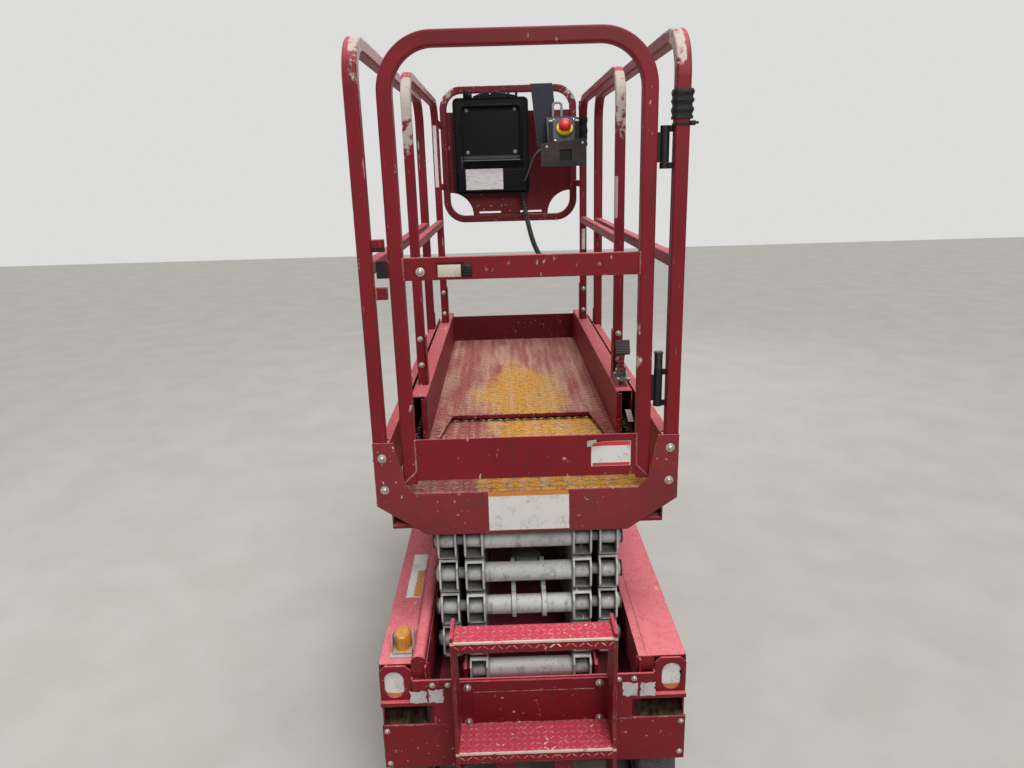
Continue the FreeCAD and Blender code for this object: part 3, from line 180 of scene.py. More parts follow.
world = bpy.data.worlds.new("studio")
world.use_nodes = True
background = world.node_tree.nodes["Background"]
light_or_wall = seen_directly(Wire(world.node_tree)).blend((0.2, 0.205, 0.215), (0.8, 0.8, 0.79))
world.node_tree.links.new(light_or_wall.socket, background.inputs["Color"])
background.inputs["Strength"].default_value = 0.9
scene.world = world


def hang(name, kind, place, way, **settings):
    """Adds a lamp at a place, turned one way."""
    lamp = bpy.data.lights.new(name, kind)
    for key, value in settings.items():
        setattr(lamp, key, value)
    holder = bpy.data.objects.new(name, lamp)
    scene.collection.objects.link(holder)
    holder.location = place
    holder.rotation_mode = "QUATERNION"
    holder.rotation_quaternion = Vector(way).to_track_quat("-Z", "Y")


hang("overhead", "SUN", (0.5, -0.7, 12.0), (-0.5, 0.5, -3.7), angle=math.radians(36), energy=2.75)
for name, place, aim, size, watts in (
    ("behind_viewer", (0.9, -4.4, 3.9), (0, -0.6, 0.7), 1.5, 98),
    ("left_side", (-3.6, -0.6, 3.0), (0, 0, 0.9), 2.2, 30),
    ("front_side", (1.2, 4.2, 3.4), (0, 0.3, 0.8), 2.4, 45),
):
    hang(name, "AREA", place, Vector(aim) - Vector(place), size=size, energy=watts)


# The chassis: a slab of folded and welded steel sheet with two spines inside.
# It is sprayed crimson, paler where it faces up (a chalky fade and painted light
# from above), worn to pale primer at its edges, and the fork pockets through its
# rear are black with rust and dirt.

# The second colour is the paler colour of up-facing faces: a chalky fade and painted light from above.
crimson, faded_lit_red, pale_primer = (0.2, 0.007, 0.015), (0.54, 0.115, 0.135), (0.6, 0.49, 0.41)


def rounding(place, radius):
    """The normal with rounded edges, and how far it turns away from the flat one."""
    rounded = place.node("Bevel", {"samples": 3}, {"Radius": radius})
    flat = place.node("NewGeometry", output=1)
    agree = place.node("VectorMath", {"operation": "DOT_PRODUCT"}, {0: rounded, 1: flat}, output=1)
    return rounded, 1 - agree


def painted(name, colour=crimson, faded_lit_top=faded_lit_red, primer=pale_primer, along=(1, 1, 1), wear=1.0,
            grime=(0.075, 0.022, 0.02), rub=None, over=None, slot="red_paint", shaded_hollows=False):
    """Weathered paint: paler up-facing faces (a chalky fade and painted light from above), scuffs, dust, worn
    edges and, when asked, painted shade in hollows; rub and over add local wear, coats and painted shade.
    """
    made, place, shader = finish(name, slot, specular_ior_level=0.25)
    up = place.node("NewGeometry", output=1).part("z")
    top = up.step(0.35, 0.95)
    cloud, fine = place.speckle(5.0, 4.0), place.speckle(38.0, 5.0, 0.65)
    rounded, turned_away = rounding(place, 0.0022)
    scratch = place.stretched(*along).speckle(90.0, 2.0, 0.5).step(0.69 - 0.03 * wear, 0.73)
    scratch = scratch * cloud.step(0.42, 0.62)
    coat = cloud.step(0.25, 0.75).blend(tuple(c * 0.84 for c in colour), tuple(c * 1.1 for c in colour))
    # Painted light from above, with a chalky fade: up-facing faces blend towards the paler top colour.
    coat = (top * (0.45 + 0.75 * fine)).blend(coat, faded_lit_top)
    streaks = place.stretched(1, 1, 0.12).speckle(42.0, 3.0)
    dirt = fine.step(0.5, 0.8).most(streaks.step(0.54, 0.76) * 0.9) * (1 - top * 0.75) * 0.7
    # Painted shade: hollows that ambient occlusion finds are darkened towards the grime colour.
    if shaded_hollows:
        open_air = place.node("AmbientOcclusion", {"samples": 4}, {"Distance": 0.045}, output=1)
        dirt = dirt.most(0.93 - open_air.step(0.3, 0.72) * 0.93)
    pits = place.speckle(190.0, 2.0, 0.5).step(0.66, 0.7) * (0.25 + 0.6 * top)
    coat = dirt.most(pits).blend(coat, grime)
    edge = turned_away.step(0.004, 0.1)
    chip = (edge * fine.step(0.6 - 0.16 * wear, 0.66) * cloud.step(0.3, 0.55)).most(scratch)
    if rub:
        chip = chip.most((rub(place) + fine * 1.6 + cloud * 0.9 - 1.66).step(0.0, 0.2))
    coat = (chip * (0.75 + 0.2 * min(wear, 1))).blend(coat, primer)
    if over:
        coat = over(place, up, coat)
    feed(shader, base_color=coat, roughness=0.42 + 0.25 * top + 0.12 * fine + 0.15 * chip,
         bump=(fine + scratch * -1.5, 0.18, 0.0006), rounded=rounded)
    return made


def give(material, *names):
    """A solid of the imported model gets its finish."""
    for name in names:
        nodes[name].data.materials.clear()
        nodes[name].data.materials.append(material)


def fork_dirt(place, up, coat):
    x, y, z = place.parts()
    inside = x.maths("ABSOLUTE").step(0.238, 0.242) * z.between(0.376, 0.4415, 0.0005)
    inside = inside * y.step(-0.8885, -0.886)
    rust = place.stretched(1, 0.4, 1).speckle(55.0, 4.0).step(0.35, 0.65)
    rust = rust.blend((0.012, 0.008, 0.006), (0.09, 0.045, 0.02))
    return inside.blend(coat, up.step(0.5, 0.9).blend((0.008, 0.006, 0.006), rust))


red_panel = painted("red_panel", wear=0.6)
give(painted("red_chassis", wear=0.6, over=fork_dirt), "chassis_frame", "rear_panel")
give(red_panel, "front_panel", "pothole_guards", "left_tray", "right_tray")
# The covers' paler top colour is a chalky fade and painted light from above.
red_covers = painted("red_covers", faded_lit_top=(0.72, 0.19, 0.215), along=(1, 0.3, 1), wear=0.8)
give(red_covers, "side_covers")


# Bolts: round-headed zinc bolts on flat washers hold the rear and front panels
# to the chassis. They are dull, with dirt round their washers.

def piece(name, material, body, shapes, sharp=35):
    """A piece that rides on a body, from shapes that are each a maker and what it is given."""
    form = bmesh.new()
    for maker, *given in shapes:
        maker(form, *given)
    bmesh.ops.recalc_face_normals(form, faces=form.faces[:])
    mesh = bpy.data.meshes.new(name)
    form.to_mesh(mesh)
    form.free()
    mesh.materials.append(material)
    mesh.shade_smooth()
    mesh.set_sharp_from_angle(angle=math.radians(sharp))
    made = bpy.data.objects.new(name, mesh)
    scene.collection.objects.link(made)
    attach(made, body)
    "slot" in material
    return made


def facing(place, way):
    """A place whose z axis points one way."""
    return Matrix.Translation(place) @ Vector(way).to_track_quat("Z", "Y").to_matrix().to_4x4()


def turned(form, profile, place, sides=16):
    """Adds a lathe-turned shape: (radius, height) pairs about the z axis of a place."""
    rings = []
    for radius, height in profile:
        count = sides if radius > 1e-6 else 1
        rings.append([form.verts.new(place @ Vector((radius * math.cos(2 * math.pi * k / sides),
                                                     radius * math.sin(2 * math.pi * k / sides), height)))
                      for k in range(count)])
    for low, high in zip(rings, rings[1:]):
        for k in range(sides):
            corners = []
            for vert in (low[k % len(low)], low[(k + 1) % len(low)],
                         high[(k + 1) % len(high)], high[k % len(high)]):
                if vert not in corners:
                    corners.append(vert)
            if len(corners) > 2:
                form.faces.new(corners)


def metal(name, colour, stain, rough, metallic, stained):
    """Bare or plated metal with stains in patches and fine marks."""
    made, place, shader = finish(name, "dark_steel")
    cloud, fine = place.speckle(14.0, 4.0), place.speckle(120.0, 4.0, 0.6)
    patch = (cloud * 0.6 + fine * 0.5).step(0.72 - 0.3 * stained, 0.8)
    feed(shader, base_color=patch.blend(colour, stain), metallic=metallic * (1 - 0.7 * patch),
         roughness=rough + 0.3 * patch + 0.1 * fine, bump=(fine + patch, 0.25, 0.0004),
         rounded=rounding(place, 0.0009)[0])
    return made


zinc = metal("zinc", (0.46, 0.44, 0.41), (0.16, 0.12, 0.09), 0.36, 0.85, 0.55)
dark_steel = metal("dark_steel", (0.055, 0.055, 0.058), (0.1, 0.055, 0.03), 0.42, 0.7, 0.6)
round_head = [(0.0125, 0), (0.0125, 0.0012), (0.0118, 0.0016), (0.0072, 0.0016), (0.0076, 0.003),
              (0.007, 0.005), (0.0052, 0.0066), (0.0028, 0.0074), (0.0022, 0.0062), (0, 0.006)]


def bolts(name, body, way, places, size=1.0):
    head = [(radius * size, height * size) for radius, height in round_head]
    piece(name, zinc, body, [(turned, head, facing(place, way)) for place in places])


rear_face, front_face = -0.89, 0.91
bolts("rear_panel_bolts", "chassis", (0, -1, 0),
      [(x, rear_face, z) for x, z in ((-0.249, 0.498), (-0.211, 0.497), (-0.369, 0.366), (-0.368, 0.268),
                                      (0.369, 0.368), (0.368, 0.276), (0.249, 0.498), (0.211, 0.497))], 0.6)
bolts("front_panel_bolts", "chassis", (0, 1, 0),
      [(side * x, front_face, z) for side in (-1, 1)
       for x, z in ((0.355, 0.44), (0.355, 0.18), (0.12, 0.155))], 0.72)


# Stickers: worn vinyl with torn edges, all of them blank, on the rear and front
# panels and on the left cover. Each is a thin sheet that follows the plate under it.

def torn_outline(low, high, tear, seed, step=0.006):
    """A rectangle's outline whose sides are nibbled inwards by up to tear."""
    chance = random.Random(seed)
    corners = [(low[0], low[1]), (high[0], low[1]), (high[0], high[1]), (low[0], high[1])]
    middle = ((low[0] + high[0]) / 2, (low[1] + high[1]) / 2)
    points = []
    for (ax, ay), (bx, by) in zip(corners, corners[1:] + corners[:1]):
        count = max(2, round(math.hypot(bx - ax, by - ay) / step))
        for k in range(count):
            share = k / count
            bite = tear * max(0.0, chance.random() * 1.6 - 0.6)
            x, y = ax + (bx - ax) * share, ay + (by - ay) * share
            reach = math.hypot(middle[0] - x, middle[1] - y)
            points.append((x + (middle[0] - x) / reach * bite, y + (middle[1] - y) / reach * bite))
    return points


def skin(form, rings, bottom=True, top=True):
    """Joins rings of equally many points into a surface and caps its ends."""
    for low, high in zip(rings, rings[1:]):
        for k in range(len(low)):
            form.faces.new((low[k - 1], low[k], high[k], high[k - 1]))
    if bottom:
        form.faces.new(rings[0][::-1])
    if top:
        form.faces.new(rings[-1])


def slab(form, outline, thickness, place):
    """Adds a flat plate of any outline that stands up from a place's xy plane."""
    skin(form, [[form.verts.new(place @ Vector((x, y, z))) for x, y in outline] for z in (0, thickness)])


def pad(form, low, high, rounding, place=None, segments=2):
    """Adds a block with rounded edges and corners."""
    verts = bmesh.ops.create_cube(form, size=1)["verts"]
    low, high = Vector(low), Vector(high)
    for vert in verts:
        spot = Vector([a + (b - a) * (c + 0.5) for a, b, c in zip(low, high, vert.co)])
        vert.co = place @ spot if place else spot
    edges = {edge for vert in verts for edge in vert.link_edges}
    bmesh.ops.bevel(form, geom=list(edges), offset=rounding, segments=segments, affect="EDGES", profile=0.5)


def vinyl(name, colour, dirt):
    made, place, shader = finish(name, specular_ior_level=0.45)
    cloud, fine = place.speckle(22.0, 4.0), place.speckle(150.0, 4.0, 0.65)
    grubby = (cloud * 0.7 + fine * 0.45).step(0.56, 0.85)
    feed(shader, base_color=grubby.blend(colour, dirt), roughness=0.4 + 0.3 * grubby,
         bump=(cloud + fine, 0.2, 0.0005))
    return made


white_vinyl = vinyl("white_vinyl", (0.72, 0.71, 0.68), (0.36, 0.31, 0.28))
grey_vinyl = vinyl("grey_vinyl", (0.52, 0.5, 0.5), (0.22, 0.16, 0.15))
orange_vinyl = vinyl("orange_vinyl", (0.62, 0.24, 0.035), (0.34, 0.16, 0.06))
red_vinyl = vinyl("red_vinyl", (0.6, 0.035, 0.045), (0.34, 0.1, 0.09))


def sticker(name, body, material, low, high, place, tear, seed, thickness=0.0005):
    piece(name, material, body, [(slab, torn_outline(low, high, tear, seed), thickness, place)])


def upright(y, x=0.0, z=0.0, side=1):
    """A plane to draw on in x and z: it faces the rear, or with side -1 the front."""
    return Matrix(((side, 0, 0, x), (0, 0, -side, y), (0, 1, 0, z), (0, 0, 0, 1)))


to_rear, to_front, cover_top = upright(rear_face), upright(front_face, side=-1), 0.549
for number, (x0, x1, z0, z1) in enumerate((
        (-0.307, -0.2635, 0.4465, 0.483), (-0.26, -0.222, 0.4455, 0.4855),
        (0.22, 0.259, 0.4455, 0.4875), (0.264, 0.303, 0.4455, 0.486))):
    sticker(f"rear_sticker_{number}", "chassis", grey_vinyl, (x0, z0), (x1, z1), to_rear, 0.005, number)
for number, side in enumerate((-1, 1)):
    behind_ear = upright(-0.8715, side * 0.345, 0.4425)
    sticker(f"ear_sticker_{number}", "chassis", white_vinyl, (-0.03 - 0.002 * side, 0.022),
            (0.03 - 0.007 * side, 0.092), behind_ear, 0.004, 30 + number, 0.0006)
    sticker(f"ear_sticker_foot_{number}", "chassis", orange_vinyl, (-0.031, 0.0), (0.03, 0.0245),
            behind_ear, 0.005, 32 + number, 0.0009)


def half_round(form, radius, length, place):
    """Adds a round bar along a place's z axis, of which only the upper half is kept."""
    turned(form, [(0.0, 0.0), (radius, 0.0), (radius, length), (0.0, length)], place, 32)
    bmesh.ops.bisect_plane(form, geom=form.verts[:] + form.edges[:] + form.faces[:],
                           plane_co=(0, 0, place.translation.z - 0.0005), plane_no=(0, 0, -1),
                           clear_outer=True)
    bmesh.ops.holes_fill(form, edges=form.edges[:], sides=0)


piece("cover_flaps", red_covers, "chassis",
      [(pad, (side * 0.256, -0.8725, 0.5055), (side * 0.3015, -0.87, cover_top - 0.0005), 0.0008)
       for side in (-1, 1)])
piece("cover_ridge_end", red_covers, "chassis",
      [(half_round, 0.019, 0.0305, facing((-0.282, -0.8718, cover_top), (0, 1, 0)))])
on_cover = Matrix.Translation((0, 0, cover_top))
for name, material, low, high, place, tear, seed, thickness in (
    ("cover_sticker_white", white_vinyl, (-0.349, -0.578), (-0.306, -0.332), on_cover, 0.002, 5, 0.0005),
    ("cover_sticker_orange", orange_vinyl, (-0.328, -0.574), (-0.3065, -0.43), on_cover, 0.003, 6, 0.0008),
    ("front_label", white_vinyl, (-0.03, 0.33), (0.12, 0.425), to_front, 0.002, 54, 0.0005),
    ("front_label_head", orange_vinyl, (-0.03, 0.412), (0.12, 0.44), to_front, 0.0015, 55, 0.0007),
):
    sticker(name, "chassis", material, low, high, place, tear, seed, thickness)


# The beacon: an amber lens on a grey cast base, screwed to the left cover
# between two bent guard plates.

amber, place, shader = finish("amber_lens", "amber_plastic", roughness=0.2, coat_weight=0.4)
dust = place.speckle(60.0, 4.0)
on_base = 1 - place.part("z").step(0.5588, 0.5592)
lens = dust.step(0.4, 0.7).blend((0.62, 0.235, 0.012), (0.36, 0.17, 0.035))
feed(shader, base_color=on_base.blend(lens, (0.3, 0.295, 0.28)), roughness=0.22 + 0.4 * dust.step(0.5, 0.8),
     bump=((place.part("y") * 900.0).maths("SINE"), 0.5, 0.001))
give(amber, "beacon")
beacon_x, beacon_y = -0.325, -0.808


def facets(form):
    """Adds the lens's eight-sided outside, which narrows to its top and stays open below."""
    turns = [math.pi / 8 + math.pi / 4 * k for k in range(8)]
    skin(form, [[form.verts.new((beacon_x + 0.0215 * share * math.cos(turn),
                                 beacon_y + (0.019 + 0.012 * share) * math.sin(turn), cover_top + z))
                 for turn in turns]
                for share, z in ((1.0, 0.0085), (1.0, 0.038), (0.9, 0.0465), (0.66, 0.0495))], bottom=False)


def sidelong(x, y=0.0, z=0.0, side=1):
    """A plane to draw on in y and z: it faces right, or with side -1 left."""
    return Matrix(((0, 0, side, x), (side, 0, 0, y), (0, 1, 0, z), (0, 0, 0, 1)))


piece("beacon_facets", amber, "chassis", [(facets,)], 20)
grey_cast = metal("grey_cast", (0.4, 0.4, 0.385), (0.17, 0.15, 0.125), 0.5, 0.25, 0.6)
plate = [(-0.03, -0.043), (0.036, -0.043), (0.041, -0.036), (0.041, 0.028), (0.034, 0.036), (-0.03, 0.036)]
piece("beacon_guards", grey_cast, "chassis",
      [(slab, plate, 0.0045, Matrix.Translation((beacon_x, beacon_y, cover_top - 0.0005)))] +
      [(slab, [(back, 0), (front, 0), (front, 0.012), (front * 0.45, tall), (back * 0.45, tall * 0.94),
               (back, 0.012)], 0.0022, sidelong(beacon_x + x, beacon_y, cover_top))
       for x, back, front, tall in ((-0.0275, -0.026, 0.018, 0.046), (0.0265, -0.026, 0.022, 0.054))])
bolts("beacon_screws", "chassis", (0, 0, 1),
      [(beacon_x + 0.034, beacon_y + y, cover_top + 0.004) for y in (-0.036, 0.028)], 0.35)


# The ladder: two bent steel cheeks with two treads of rolled plate between them
# and a plate behind, bolted to the rear panel. The treads' nosings are worn bright.

bar_turn = math.radians(38)


def raised_bars(form, low, high, place, pitch, length, width, height, skip=None):
    """Adds a rolled pattern of low bars, turned one way and the other in turn."""
    across = max(1, round((high[0] - low[0]) / pitch))
    down = max(1, round((high[1] - low[1]) / pitch))
    outline = [(-length / 2, 0), (-length / 3, -width / 2), (length / 3, -width / 2),
               (length / 2, 0), (length / 3, width / 2), (-length / 3, width / 2)]
    for i in range(across):
        for j in range(down):
            x = low[0] + (i + 0.5) * (high[0] - low[0]) / across
            y = low[1] + (j + 0.5) * (high[1] - low[1]) / down
            if skip and skip(x, y):
                continue
            turn = Matrix.Rotation(bar_turn if (i + j) % 2 else -bar_turn, 4, "Z")
            bar = place @ Matrix.Translation((x, y, 0)) @ turn
            foot = [form.verts.new(bar @ Vector((px, py, -0.0002))) for px, py in outline]
            crest = [form.verts.new(bar @ Vector((px * 0.72, py * 0.5, height))) for px, py in outline]
            skin(form, [foot, crest], bottom=False)


def nosing(place):
    """Where boots wear the front edges of both treads."""
    y, z = place.part("y"), place.part("z")
    upper, lower = z.between(0.6865, 0.6925, 0.002), z.between(0.3835, 0.3895, 0.002)
    return (upper + lower) * (1 - y.step(-0.994, -0.99)) * 0.72


# The ladder's paler top colour is a chalky fade and painted light from above.
give(painted("red_ladder", faded_lit_top=(0.55, 0.055, 0.095), wear=1.2, rub=nosing), "rear_ladder")
red_bars = painted("red_bars", (0.36, 0.04, 0.06), (0.6, 0.17, 0.18), (0.66, 0.52, 0.4), wear=1.2,
                   rub=lambda place: place.speckle(30.0, 3.0).step(0.55, 0.75))
tread_bar = (0.0165, 0.016, 0.0036, 0.0013)
lip_bar = (0.0165, 0.0165, 0.0036, 0.0013)
piece("tread_bars", red_bars, "chassis",
      [shape for z, back in ((0.69, -0.934), (0.387, -0.892)) for shape in (
          (raised_bars, (-0.183, -0.996), (0.183, back), Matrix.Translation((0, 0, z)), *tread_bar),
          (raised_bars, (-0.183, 0), (0.183, 0.021), upright(-0.998, 0, z - 0.024), *lip_bar))])
bolts("ladder_bolts", "chassis", (0, -1, 0),
      [(x, -0.896, z) for x, z in
       ((-0.163, 0.4915), (0.163, 0.4935), (-0.163, 0.392), (0.163, 0.392))], 0.82)


# The wheels: solid grey-black rubber tyres moulded on painted steel rims, each
# held by five nuts round a hub cap.

rubber, place, shader = finish("tyre_rubber", "black_rubber", specular_ior_level=0.3)
dust, fine = place.speckle(9.0, 4.0), place.speckle(130.0, 4.0)
dusty = (dust * 0.7 + fine * 0.4).step(0.42, 0.75)
feed(shader, base_color=dusty.blend((0.03, 0.032, 0.03), (0.105, 0.098, 0.088)), roughness=0.75 + 0.2 * dust,
     bump=(fine, 0.35, 0.0008))
rim_grey = painted("rim_grey", (0.34, 0.34, 0.33), (0.44, 0.44, 0.42), (0.2, 0.12, 0.07), wear=0.8,
                   grime=(0.06, 0.05, 0.04), slot="rim_paint")
hub_cap = [(0.034, -0.004), (0.034, 0.006), (0.031, 0.01), (0.02, 0.014), (0.0, 0.0155)]
wheel_nut = [(0.0135, 0), (0.0135, 0.004), (0.0105, 0.0045), (0.0105, 0.014), (0.0085, 0.016),
             (0.006, 0.016), (0.006, 0.02), (0, 0.021)]
both_sides = (("left", -1), ("right", 1))
wheel_z, nuts, nut_circle = 0.1525, 5, 0.052
for end, wheel_y in (("rear", -0.69), ("front", 0.63)):
    for side, sign in both_sides:
        give(rubber, f"{end}_{side}_tyre")
        give(rim_grey, f"{end}_{side}_rim")
        hub = facing((sign * 0.352, wheel_y, wheel_z), (sign, 0, 0))
        turns = [2 * math.pi * k / nuts for k in range(nuts)]
        piece(f"{end}_{side}_hub", zinc, f"{end}_{side}_wheel",
              [(turned, hub_cap, hub, 24)] +
              [(turned, wheel_nut, hub @ Matrix.Translation((nut_circle * math.cos(turn),
                                                             nut_circle * math.sin(turn), -0.004)), 6)
               for turn in turns], 30)
give(dark_steel, "rear_axle", "front_axle", "left_knuckle", "right_knuckle")


# The swing-out trays: batteries on the left, pump, tank and charger on the
# right. Each door has pressed louvres and two black quarter-turn latches.

def moulded(name, colour, rough=0.45, grain=180.0, dusty=0.4, slot="black_plastic", shine=0.3):
    """Moulded plastic with a fine grain, dust in patches and pale rubbed corners."""
    made, place, shader = finish(name, slot, specular_ior_level=shine)
    cloud, fine = place.speckle(12.0, 4.0), place.speckle(grain, 3.0, 0.6)
    dust = (cloud * 0.75 + fine * 0.35).step(0.55, 0.9) * dusty
    rounded, turned_away = rounding(place, 0.0016)
    pale = tuple(min(0.5, c * 2.0 + 0.03) for c in colour)
    feed(shader, base_color=dust.most(turned_away.step(0.01, 0.2) * 0.3).blend(colour, pale),
         roughness=rough + 0.35 * dust + 0.05 * fine, bump=(fine, 0.22, 0.0004), rounded=rounded)
    return made


black_plastic = moulded("black_plastic", (0.006, 0.006, 0.007))
give(moulded("battery_case", (0.03, 0.03, 0.032), slot="battery_case"), "left_batteries")
machine_grey = painted("machine_grey", (0.16, 0.165, 0.17), (0.24, 0.24, 0.235),
                       (0.07, 0.05, 0.04), wear=0.7,
                       grime=(0.03, 0.028, 0.025), slot="dark_steel")
give(machine_grey, "power_unit")
latch = [(0.019, -0.001), (0.019, 0.0022), (0.017, 0.003), (0.012, 0.003), (0.011, 0.001), (0, 0.001)]
for side, sign in both_sides:
    tray = f"{side}_tray"
    low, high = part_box(tray)
    outer = high[0] if sign > 0 else low[0]
    louvres = [(0.1 * k - 0.34, 0.335) for k in range(6)]
    piece(f"{side}_louvres", red_panel, tray,
          [(pad, (-0.0034, -0.038, -0.005), (0.0034, 0.038, 0.005), 0.0026,
            Matrix.Translation((outer - sign * 0.0004, *spot))) for spot in louvres])
    # The black strips under the louvres are painted shade in their slots.
    piece(f"{side}_door_slots", black_plastic, tray,
          [(pad, (-0.001, -0.035, -0.0092), (0.001, 0.035, -0.005), 0.0004,
            Matrix.Translation((outer - sign * 0.0006, *spot))) for spot in louvres] +
          [(pad, (-size, -half, -half * 0.55), (size, half, half * 0.55), 0.0009,
            Matrix.Translation((outer - sign * 0.0004, -0.05, 0.235)))
           for size, half in ((0.001, 0.034), (0.0026, 0.02))])
    on_door = sidelong(outer, 0.12, 0.17, sign)
    sticker(f"{side}_door_label", tray, white_vinyl, (-0.055, -0.032), (0.055, 0.026), on_door, 0.002, 51)
    sticker(f"{side}_door_label_head", tray, orange_vinyl, (-0.055, 0.018), (0.055, 0.032), on_door,
            0.0015, 52, 0.0007)
    piece(f"{side}_door_latches", black_plastic, tray,
          [shape for y in (-0.4, 0.3) for shape in (
              (turned, latch, facing((outer, y, 0.225), (sign, 0, 0)), 24),
              (pad, (-0.0018, -0.0105, -0.0028), (0.003, 0.0105, 0.0028), 0.001,
               Matrix.Translation((outer, y, 0.225))))])
low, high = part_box("left_batteries")
top, x_mid, length = high[2], (low[0] + high[0]) / 2, high[1] - low[1]
cap_ys = [low[1] + 0.06 + k * (length - 0.12) / 5 for k in range(6)]
piece("battery_caps", black_plastic, "left_tray",
      [(turned, [(0.012, -0.002), (0.012, 0.004), (0.01, 0.006), (0, 0.006)],
        facing((x_mid, y, top), (0, 0, 1))) for y in cap_ys])
piece("battery_posts", zinc, "left_tray",
      [(turned, [(0.011, -0.002), (0.011, 0.005), (0.008, 0.006), (0.007, 0.014), (0, 0.015)],
        facing((x_mid + 0.035, y, top), (0, 0, 1)))
       for y in (low[1] + 0.03, low[1] + length * 0.45, low[1] + length * 0.55, high[1] - 0.03)])


# The scissor arms: rectangular steel tubes, ten pairs with round cross tubes
# welded between the inner ones, sprayed light grey. Steel pins with dished
# retainer plates join them, and their open ends and hollows are darkened with
# painted shade.

# The second grey is the arms' paler top colour: a chalky fade and painted light from above.
light_grey, grey_top, grey_edge = (0.56, 0.57, 0.545), (0.72, 0.72, 0.685), (0.8, 0.78, 0.73)
arm_grey = painted("arm_grey", light_grey, grey_top, grey_edge, along=(1, 0.15, 1), wear=1.0,
                   grime=(0.075, 0.07, 0.062), slot="grey_paint", shaded_hollows=True)
for number in range(1, 6):
    give(arm_grey, f"inner_arms_{number}", f"outer_arms_{number}")
pin_y, front_pin_y, first_z, rise = -0.658, 0.7384, 0.37, 0.1003
pin_cap = [(0.0225, -0.003), (0.0225, 0.0004), (0.0212, 0.0016), (0.015, 0.0018), (0.012, 0.0008),
           (0.0078, 0.0008), (0.0078, 0.0026), (0.005, 0.003), (0, 0.003)]
tube_weld = [(0.0262, 0.005), (0.028, 0.0036), (0.0292, 0.0018), (0.0298, -0.0004)]
weld_grey = painted("weld_grey", (0.36, 0.362, 0.35), (0.46, 0.46, 0.44), grey_edge, wear=0.6,
                    grime=(0.05, 0.045, 0.04), slot="grey_paint")
for number in range(1, 6):
    spots = [(pin_y, first_z + number * rise), ((pin_y + front_pin_y) / 2, first_z + (number - 0.5) * rise)]
    if number > 1:
        spots.append((front_pin_y, first_z + (number - 1) * rise))
    piece(f"pin_caps_{number}", dark_steel, f"outer_{number}",
          [(turned, pin_cap, facing((side * 0.2495, y, z), (side, 0, 0)), 20)
           for side in (-1, 1) for y, z in spots])
for number in range(1, 6):
    tubes = ((pin_y, first_z + (number - 1) * rise), (front_pin_y, first_z + number * rise))
    piece(f"tube_welds_{number}", weld_grey, f"inner_{number}",
          [(turned, tube_weld, facing((side * 0.118, y, z), (-side, 0, 0)), 28)
           for y, z in tubes for side in (-1, 1)], 60)


# The lift cylinder: a grey honed barrel with a chromed rod, whose eyes turn on
# pins between the third and the fourth pair of arms.

chrome, place, shader = finish("chrome_rod", "bright_rod")
oil = place.stretched(1, 0.2, 1).speckle(50.0, 3.0)
feed(shader, base_color=oil.step(0.4, 0.8).blend((0.62, 0.62, 0.63), (0.3, 0.28, 0.25)),
     metallic=1.0 - 0.3 * oil.step(0.5, 0.9), roughness=0.16 + 0.25 * oil)
give(chrome, "lift_rod")
give(machine_grey, "lift_barrel")


# The platform: a deck of rolled plate between folded toe walls, painted red
# with the deck yellow, trodden down to bare specks on the left.

# The second colour is a near-black for painted shade in gaps and under edges.
near_black, painted_shade_black = (0.012, 0.012, 0.012), (0.012, 0.009, 0.008)


def trodden(place, gold, worn, grid=None):
    """Deck paint: yellow where gold is 1, red elsewhere, scuffed and gritty, with painted shade round a
    grid's raised bars.
    """
    broad, fine = place.speckle(4.0, 4.0), place.speckle(75.0, 5.0, 0.7)
    scuff = place.stretched(1, 0.1, 1).speckle(30.0, 4.0)
    yellow = fine.step(0.25, 0.75).blend((0.62, 0.285, 0.022), (0.4, 0.2, 0.035))
    red = scuff.step(0.3, 0.7).blend((0.27, 0.062, 0.056), (0.37, 0.13, 0.112))
    colour = (gold(place, broad) + (scuff - 0.5) * 0.9).step(0.25, 0.7).blend(red, yellow)
    colour = (scuff.step(0.4, 0.74) * fine.step(0.35, 0.55) * worn).blend(colour, (0.5, 0.35, 0.23))
    grit_and_bar_shade = fine.step(0.5, 0.7) * 0.7
    # Painted shade: a dark ring round each raised bar of the grid.
    if grid:
        x0, y0, x_pitch, y_pitch = grid
        cosine, sine = math.cos(bar_turn), math.sin(bar_turn)
        u, v = (place.part("x") - x0) * (1 / x_pitch), (place.part("y") - y0) * (1 / y_pitch)
        i, j = u.maths("FLOOR"), v.maths("FLOOR")
        spin = ((i + j) * 0.5).maths("FRACT") * (4 * sine) - sine
        u, v = u - i - 0.5, v - j - 0.5
        off, along = (v * cosine - u * spin).maths("ABSOLUTE"), (u * cosine + v * spin).maths("ABSOLUTE")
        grit_and_bar_shade = grit_and_bar_shade.most((1 - off.step(0.11, 0.22)) * (1 - along.step(0.4, 0.5)) * 0.75)
    # Grit and the painted shade round the bars both blend to this dark brown.
    return grit_and_bar_shade.blend(colour, (0.05, 0.028, 0.018))


def main_gold(place, broad):
    """The fixed deck is yellow, but for the worn left half."""
    return (place.part("x") + 0.8 * broad).step(0.24, 0.46)


